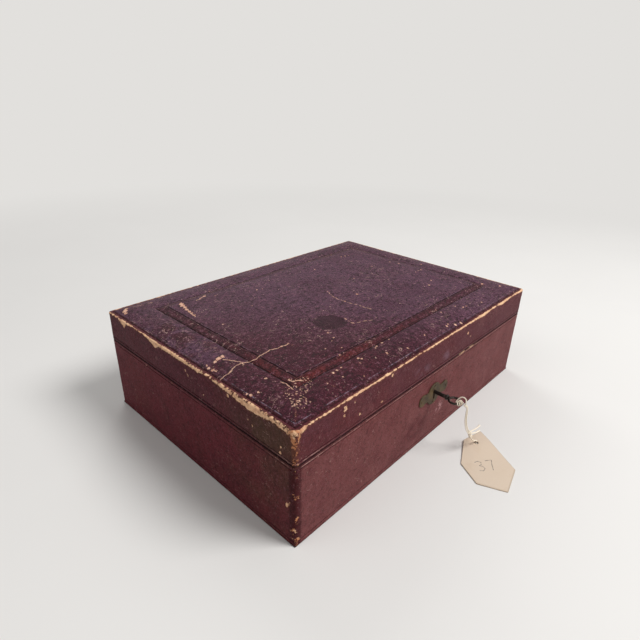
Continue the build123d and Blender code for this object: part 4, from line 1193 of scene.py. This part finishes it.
# Control points of the string and its second strand, in millimetres
STRING_ROUTE = (
    (-0.45, -135.35, 43.6), (-0.5, -136.5, 43.4), (-0.9, -137.2, 41.7), (-1.5, -137.5, 38.2),
    (-1.6, -138, 31), (0.9, -138.7, 24.2), (4.6, -139.5, 18.6), (6.4, -140.1, 13.6),
    (10.4, -140.8, 8.2), (15.4, -141.4, 5.4), (17.9, -141.5, 4.2), (18, -141.5, 1.4),
)
SECOND_ROUTE = (
    (-1.55, -135.35, 43.6), (-1.7, -136.4, 43.3), (-2.3, -137.1, 41.8), (-3.1, -137.3, 38.4),
    (-3.3, -137.8, 31.4), (-1.1, -138.5, 24.6), (2.4, -139.4, 18.7), (5.8, -139.8, 15.2),
)
BOW_Y = -126
BOW_RADIUS = 4.2
WRAP_RADIUS = 1.38
# The hitch's loop and bight, from the key's axis across and up, and along the case's own y
HITCH_LOOP = (
    (-2.6, -128.4, 1.2), (-1.6, -129, 3.8), (-0.4, -131.2, 6.2),
    (0, -133.8, 6.2), (0.1, -135.2, 4), (0, -135, 0.4),
)
HITCH_BIGHT = ((1, -130.8, -1), (1.2, -132, 1), (0.2, -132.8, 1.4), (-1, -132.2, -0.2), (-1, -130.6, -1.4))
KNOT_LINK = ((4.7, -139.5, 18.4), (5.2, -139.7, 17), (5.7, -139.85, 16), (6.2, -140, 14.4))
TAILS = (
    ((5, -139.6, 18.4), (9, -140, 18.6), (14, -140.6, 17.2), (18.8, -140.9, 18.2)),
    ((5.6, -139.9, 16.8), (9.6, -140.8, 15.8), (14.4, -141.4, 14), (19, -141.4, 13.2)),
)


class CASE_OT_string(bpy.types.Operator):
    """The tag's string: hitched to the key's bow, knotted on the way, and its second strand"""

    bl_idname = "case.string"
    bl_label = "String and Knots"

    def execute(self, context):
        thick = sizes().string

        def thread(name, lines, node, body="base", finish="string_short", diameter=thick, frayed=()):
            return keep(curve_object(name, lines, diameter, frayed), body, "string", node, finish=finish)

        wraps = []
        for i in range(41):
            share = i / 40
            round_wire = 2 * pi * 3.4 * share
            reach = BOW_RADIUS + WRAP_RADIUS * cos(round_wire)
            way = radians(-40 + 66 * share)
            lift = WRAP_RADIUS * sin(round_wire)
            wraps.append((KEY_X + reach * sin(way), BOW_Y - reach * cos(way), KEY_Z + lift))
        loop, bight = ([(KEY_X + x, y, KEY_Z + z) for x, y, z in line] for line in (HITCH_LOOP, HITCH_BIGHT))
        knot = knot_line((KEY_X, -134.7, KEY_Z), (0, 1, 0), 0.6)
        hitch = thread("hitch_on_bow", [wraps, loop, bight, knot], "bow_hitch", "key")

        middle = knot_line((4.9, -139.5, 18.1), (0.4, -0.1, -1), 1.15)
        lower = knot_line((6.1, -140, 14.7), (0.4, -0.2, -1), 1.15)
        knots = thread("knots_and_tails", [middle, lower, KNOT_LINK, *TAILS], "string_knot", frayed=(3, 4))
        stopper_line = knot_line((*TAG_HOLE, 0.86), (1, 0.2, 0), 0.34, 2.2)
        stopper = thread("stopper_knot", [stopper_line], "tag_knot", diameter=thick * 0.9)
        string = thread("tag_string_thread", [STRING_ROUTE], "tag_string", finish="string")
        second = thread("second_strand_thread", [SECOND_ROUTE], "tag_string_second", finish="string")
        return {"FINISHED"}


# A plain number of the maker's own, as strokes in the tag's own direction
DIGITS = (
    (
        (0, 8.6), (2.2, 9.4), (4.2, 8.2), (3.6, 6.2), (1.8, 5.4),
        (3.8, 4.6), (4.4, 2.4), (2.6, 0.6), (0.2, 1.2),
    ),
    ((7.4, 9.2), (12.2, 9.4), (10.6, 5.6), (9.2, 0.4)),
)


def tag_height(x, y):
    """Height of the tag's underside in millimetres: flat, and lifted at its hole by the knot below."""
    run = (TAG_HOLE[0] - TAG_REST[0], TAG_HOLE[1] - TAG_REST[1])
    across = ((x - TAG_REST[0]) * run[1] - (y - TAG_REST[1]) * run[0]) / hypot(*run)
    curl = sizes().tag_curl / MM * (across / 20) ** 2
    return 0.1 + curl + 1.45 * exp(-((dist((x, y), TAG_HOLE) / 15) ** 2))


class CASE_OT_tag(bpy.types.Operator):
    """The paper tag with its pencilled number"""

    bl_idname = "case.tag"
    bl_label = "Paper Tag"

    def execute(self, context):
        rim = []
        for a, b in zip(TAG_OUTLINE, [*TAG_OUTLINE[1:], TAG_OUTLINE[0]]):
            trimmed = 0.5 / dist(a, b)
            shares = [trimmed] + [i / 20 for i in range(1, 20)] + [1 - trimmed]
            rim += [(a[0] + (b[0] - a[0]) * s, a[1] + (b[1] - a[1]) * s) for s in shares]
        count, rings = len(rim), 18
        points = []
        for ring in range(rings + 1):
            share = (ring / rings) ** 1.3
            for x, y in rim:
                angle = atan2(y - TAG_HOLE[1], x - TAG_HOLE[0])
                hx, hy = TAG_HOLE[0] + HOLE_RADIUS * cos(angle), TAG_HOLE[1] + HOLE_RADIUS * sin(angle)
                px, py = hx + (x - hx) * share, hy + (y - hy) * share
                points.append((px, py, tag_height(px, py)))
        tag = mesh_object("paper_tag_sheet", points, ring_faces(rings, count))
        tidy_mesh(tag)
        if tag.data.polygons[0].normal.z < 0:
            tag.data.flip_normals()
        thick = tag.modifiers.new("paper", "SOLIDIFY")
        thick.thickness = sizes().paper
        thick.offset = 1
        bpy.context.view_layer.update()
        settle(tag)
        found = places(tag)
        edge = away_from_line(found, [*TAG_OUTLINE, TAG_OUTLINE[0]])
        hole_rim = abs(np.hypot(found[:, 0] - TAG_HOLE[0], found[:, 1] - TAG_HOLE[1]) - HOLE_RADIUS)
        paint_wear(tag, np.maximum(1 - edge / 0.8, 1 - hole_rim / 0.9))
        smooth(tag)
        keep(tag, "base", "tag_paper", "paper_tag")

        strips, faces = [], []
        up = Vector((TAG_HOLE[0] - TAG_REST[0], TAG_HOLE[1] - TAG_REST[1])).normalized()
        right = Vector((up.y, -up.x))
        start = Vector((-9, -158.5))
        lift = sizes().paper / MM + 0.03
        for stroke in DIGITS:
            line = [start + right * (x * 1.15) + up * (y * 1.15) for x, y in stroke]
            fine = []
            for a, b in zip(line, line[1:]):
                fine += [a.lerp(b, i / 5) for i in range(5)]
            fine.append(line[-1])
            for index, place in enumerate(fine):
                ahead = fine[min(index + 1, len(fine) - 1)] - fine[max(index - 1, 0)]
                side = Vector((-ahead.y, ahead.x)).normalized() * (0.22 + 0.07 * sin(index * 1.3))
                for edge_place in (place - side, place + side):
                    strips.append((edge_place.x, edge_place.y, tag_height(*edge_place) + lift))
                if index:
                    n = len(strips)
                    faces.append((n - 4, n - 3, n - 1, n - 2))
        mark = mesh_object("pencil_number", strips, faces)
        keep(mark, "base", None, finish="pencil")
        return {"FINISHED"}


class CASE_OT_fittings(bpy.types.Operator):
    """Finishes for the wood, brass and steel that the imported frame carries"""

    bl_idname = "case.fittings"
    bl_label = "Wood and Metal Finishes"

    def execute(self, context):
        for part in frame["record"]["subparts"]:
            node = frame["nodes"][part["node"]]
            node.data.materials.clear()
            node.data.materials.append(finishes[part["material_slot"]])
        return {"FINISHED"}


# The camera that was solved from the photograph, in metres and degrees
CAMERA_PLACE = (-0.29347, -0.25507, 0.25200)
CAMERA_AZIMUTH = 47.4758
CAMERA_DIP = 25.4963
CAMERA_ROLL = 1.5711
CAMERA_LENS = 27.216
FLOOR_Z = -0.02


class CASE_OT_stage(bpy.types.Operator):
    """Camera, lamps, pale floor and backdrop"""

    bl_idname = "case.stage"
    bl_label = "Stage"

    def execute(self, context):
        self.camera(context)
        self.floor()
        context.scene.world = studio_air()
        self.lamp("key_lamp", (0.5, -1.1, 1.5), 0.9, 30)
        self.lamp("fill_lamp", (-1.2, 0.4, 1.6), 1.2, 4)
        self.lamp("back_lamp", (0.6, 1.3, 1.3), 1, 7)
        context.scene.view_settings.view_transform = "Standard"
        return {"FINISHED"}

    def camera(self, context):
        azimuth, dip, roll = (radians(a) for a in (CAMERA_AZIMUTH, CAMERA_DIP, CAMERA_ROLL))
        turns = ((-azimuth, "Z"), (pi / 2 - dip, "X"), (roll, "Z"))
        pan, tilt, lean = (Matrix.Rotation(angle, 4, axis) for angle, axis in turns)
        data = bpy.data.cameras.new("photo_camera")
        data.sensor_width = 36
        data.lens = CAMERA_LENS
        data.clip_start = 0.01
        camera = add("photo_camera", data)
        camera.matrix_world = Matrix.Translation(CAMERA_PLACE) @ pan @ tilt @ lean
        context.scene.camera = camera

    def floor(self):
        count, radii = 96, (500, 1200, 2500, 5000)
        ways = [2 * pi * i / count for i in range(count)]
        points = [(r * cos(way), r * sin(way), FLOOR_Z) for r in radii for way in ways]
        points.append((0, 0, FLOOR_Z))
        faces = [(len(points) - 1, i, (i + 1) % count) for i in range(count)]
        faces += [face[::-1] for face in ring_faces(len(radii) - 1, count)]
        floor = mesh_object("pale_floor", points, faces)
        floor.data.materials.append(finishes["floor"])

    def lamp(self, name, place, size, watts):
        data = bpy.data.lights.new(name, "AREA")
        data.shape = "DISK"
        data.size = size
        data.energy = watts
        lamp = add(name, data)
        lamp.location = place
        lamp.rotation_euler = (Vector((0, 0, 0.05)) - Vector(place)).to_track_quat("-Z", "Y").to_euler()


class CASE_OT_finishes(bpy.types.Operator):
    """Makes every material"""

    bl_idname = "case.finishes"
    bl_label = "Finishes"

    def execute(self, context):
        c = colours()
        for make in (pine, velvet, satin, wadding, tag_paper, pencil, tab_leather):
            finishes[make.__name__] = make()
        finishes.update(
            leather_top=leather("leather_rubbed_top", "top", c.leather_top),
            leather_side=leather("leather_grained_side", "side", c.leather_side),
            leather_cover=cover_leather(),
            brass_aged=aged_brass(),
            brass=bright_brass(),
            steel_dark=steel("steel_handled", 0.97),
            steel=steel("steel_plain", 0.3),
            string=cotton("cotton_string", 44),
            string_short=cotton("cotton_knots", 14),
            floor=studio_floor(),
        )
        return {"FINISHED"}


finishes = {}

STEPS = (
    CASE_OT_finishes,
    CASE_OT_fittings,
    CASE_OT_base_skin,
    CASE_OT_lid_skin,
    CASE_OT_lid_top,
    CASE_OT_lid_lining,
    CASE_OT_cloth_boards,
    CASE_OT_tag,
    CASE_OT_string,
    CASE_OT_stage,
)


class CASE_PT_panel(bpy.types.Panel):
    bl_idname = "CASE_PT_panel"
    bl_label = "Toiletry Case"
    bl_space_type = "VIEW_3D"
    bl_region_type = "UI"
    bl_category = "Case"

    def draw(self, context):
        for group in (context.scene.case_sizes, context.scene.case_colours):
            for name in group.__annotations__:
                self.layout.prop(group, name)
        for step in STEPS:
            self.layout.operator(step.bl_idname)


CLASSES = (CaseSizes, CaseColours, *STEPS, CASE_PT_panel)


def register():
    for cls in CLASSES:
        bpy.utils.register_class(cls)
    bpy.types.Scene.case_sizes = bpy.props.PointerProperty(type=CaseSizes)
    bpy.types.Scene.case_colours = bpy.props.PointerProperty(type=CaseColours)


def unregister():
    del bpy.types.Scene.case_colours
    del bpy.types.Scene.case_sizes
    for cls in reversed(CLASSES):
        bpy.utils.unregister_class(cls)


def main():
    register()
    for step in STEPS:
        getattr(bpy.ops.case, step.bl_idname.split(".")[1])()


if __name__ == "__main__":
    main()
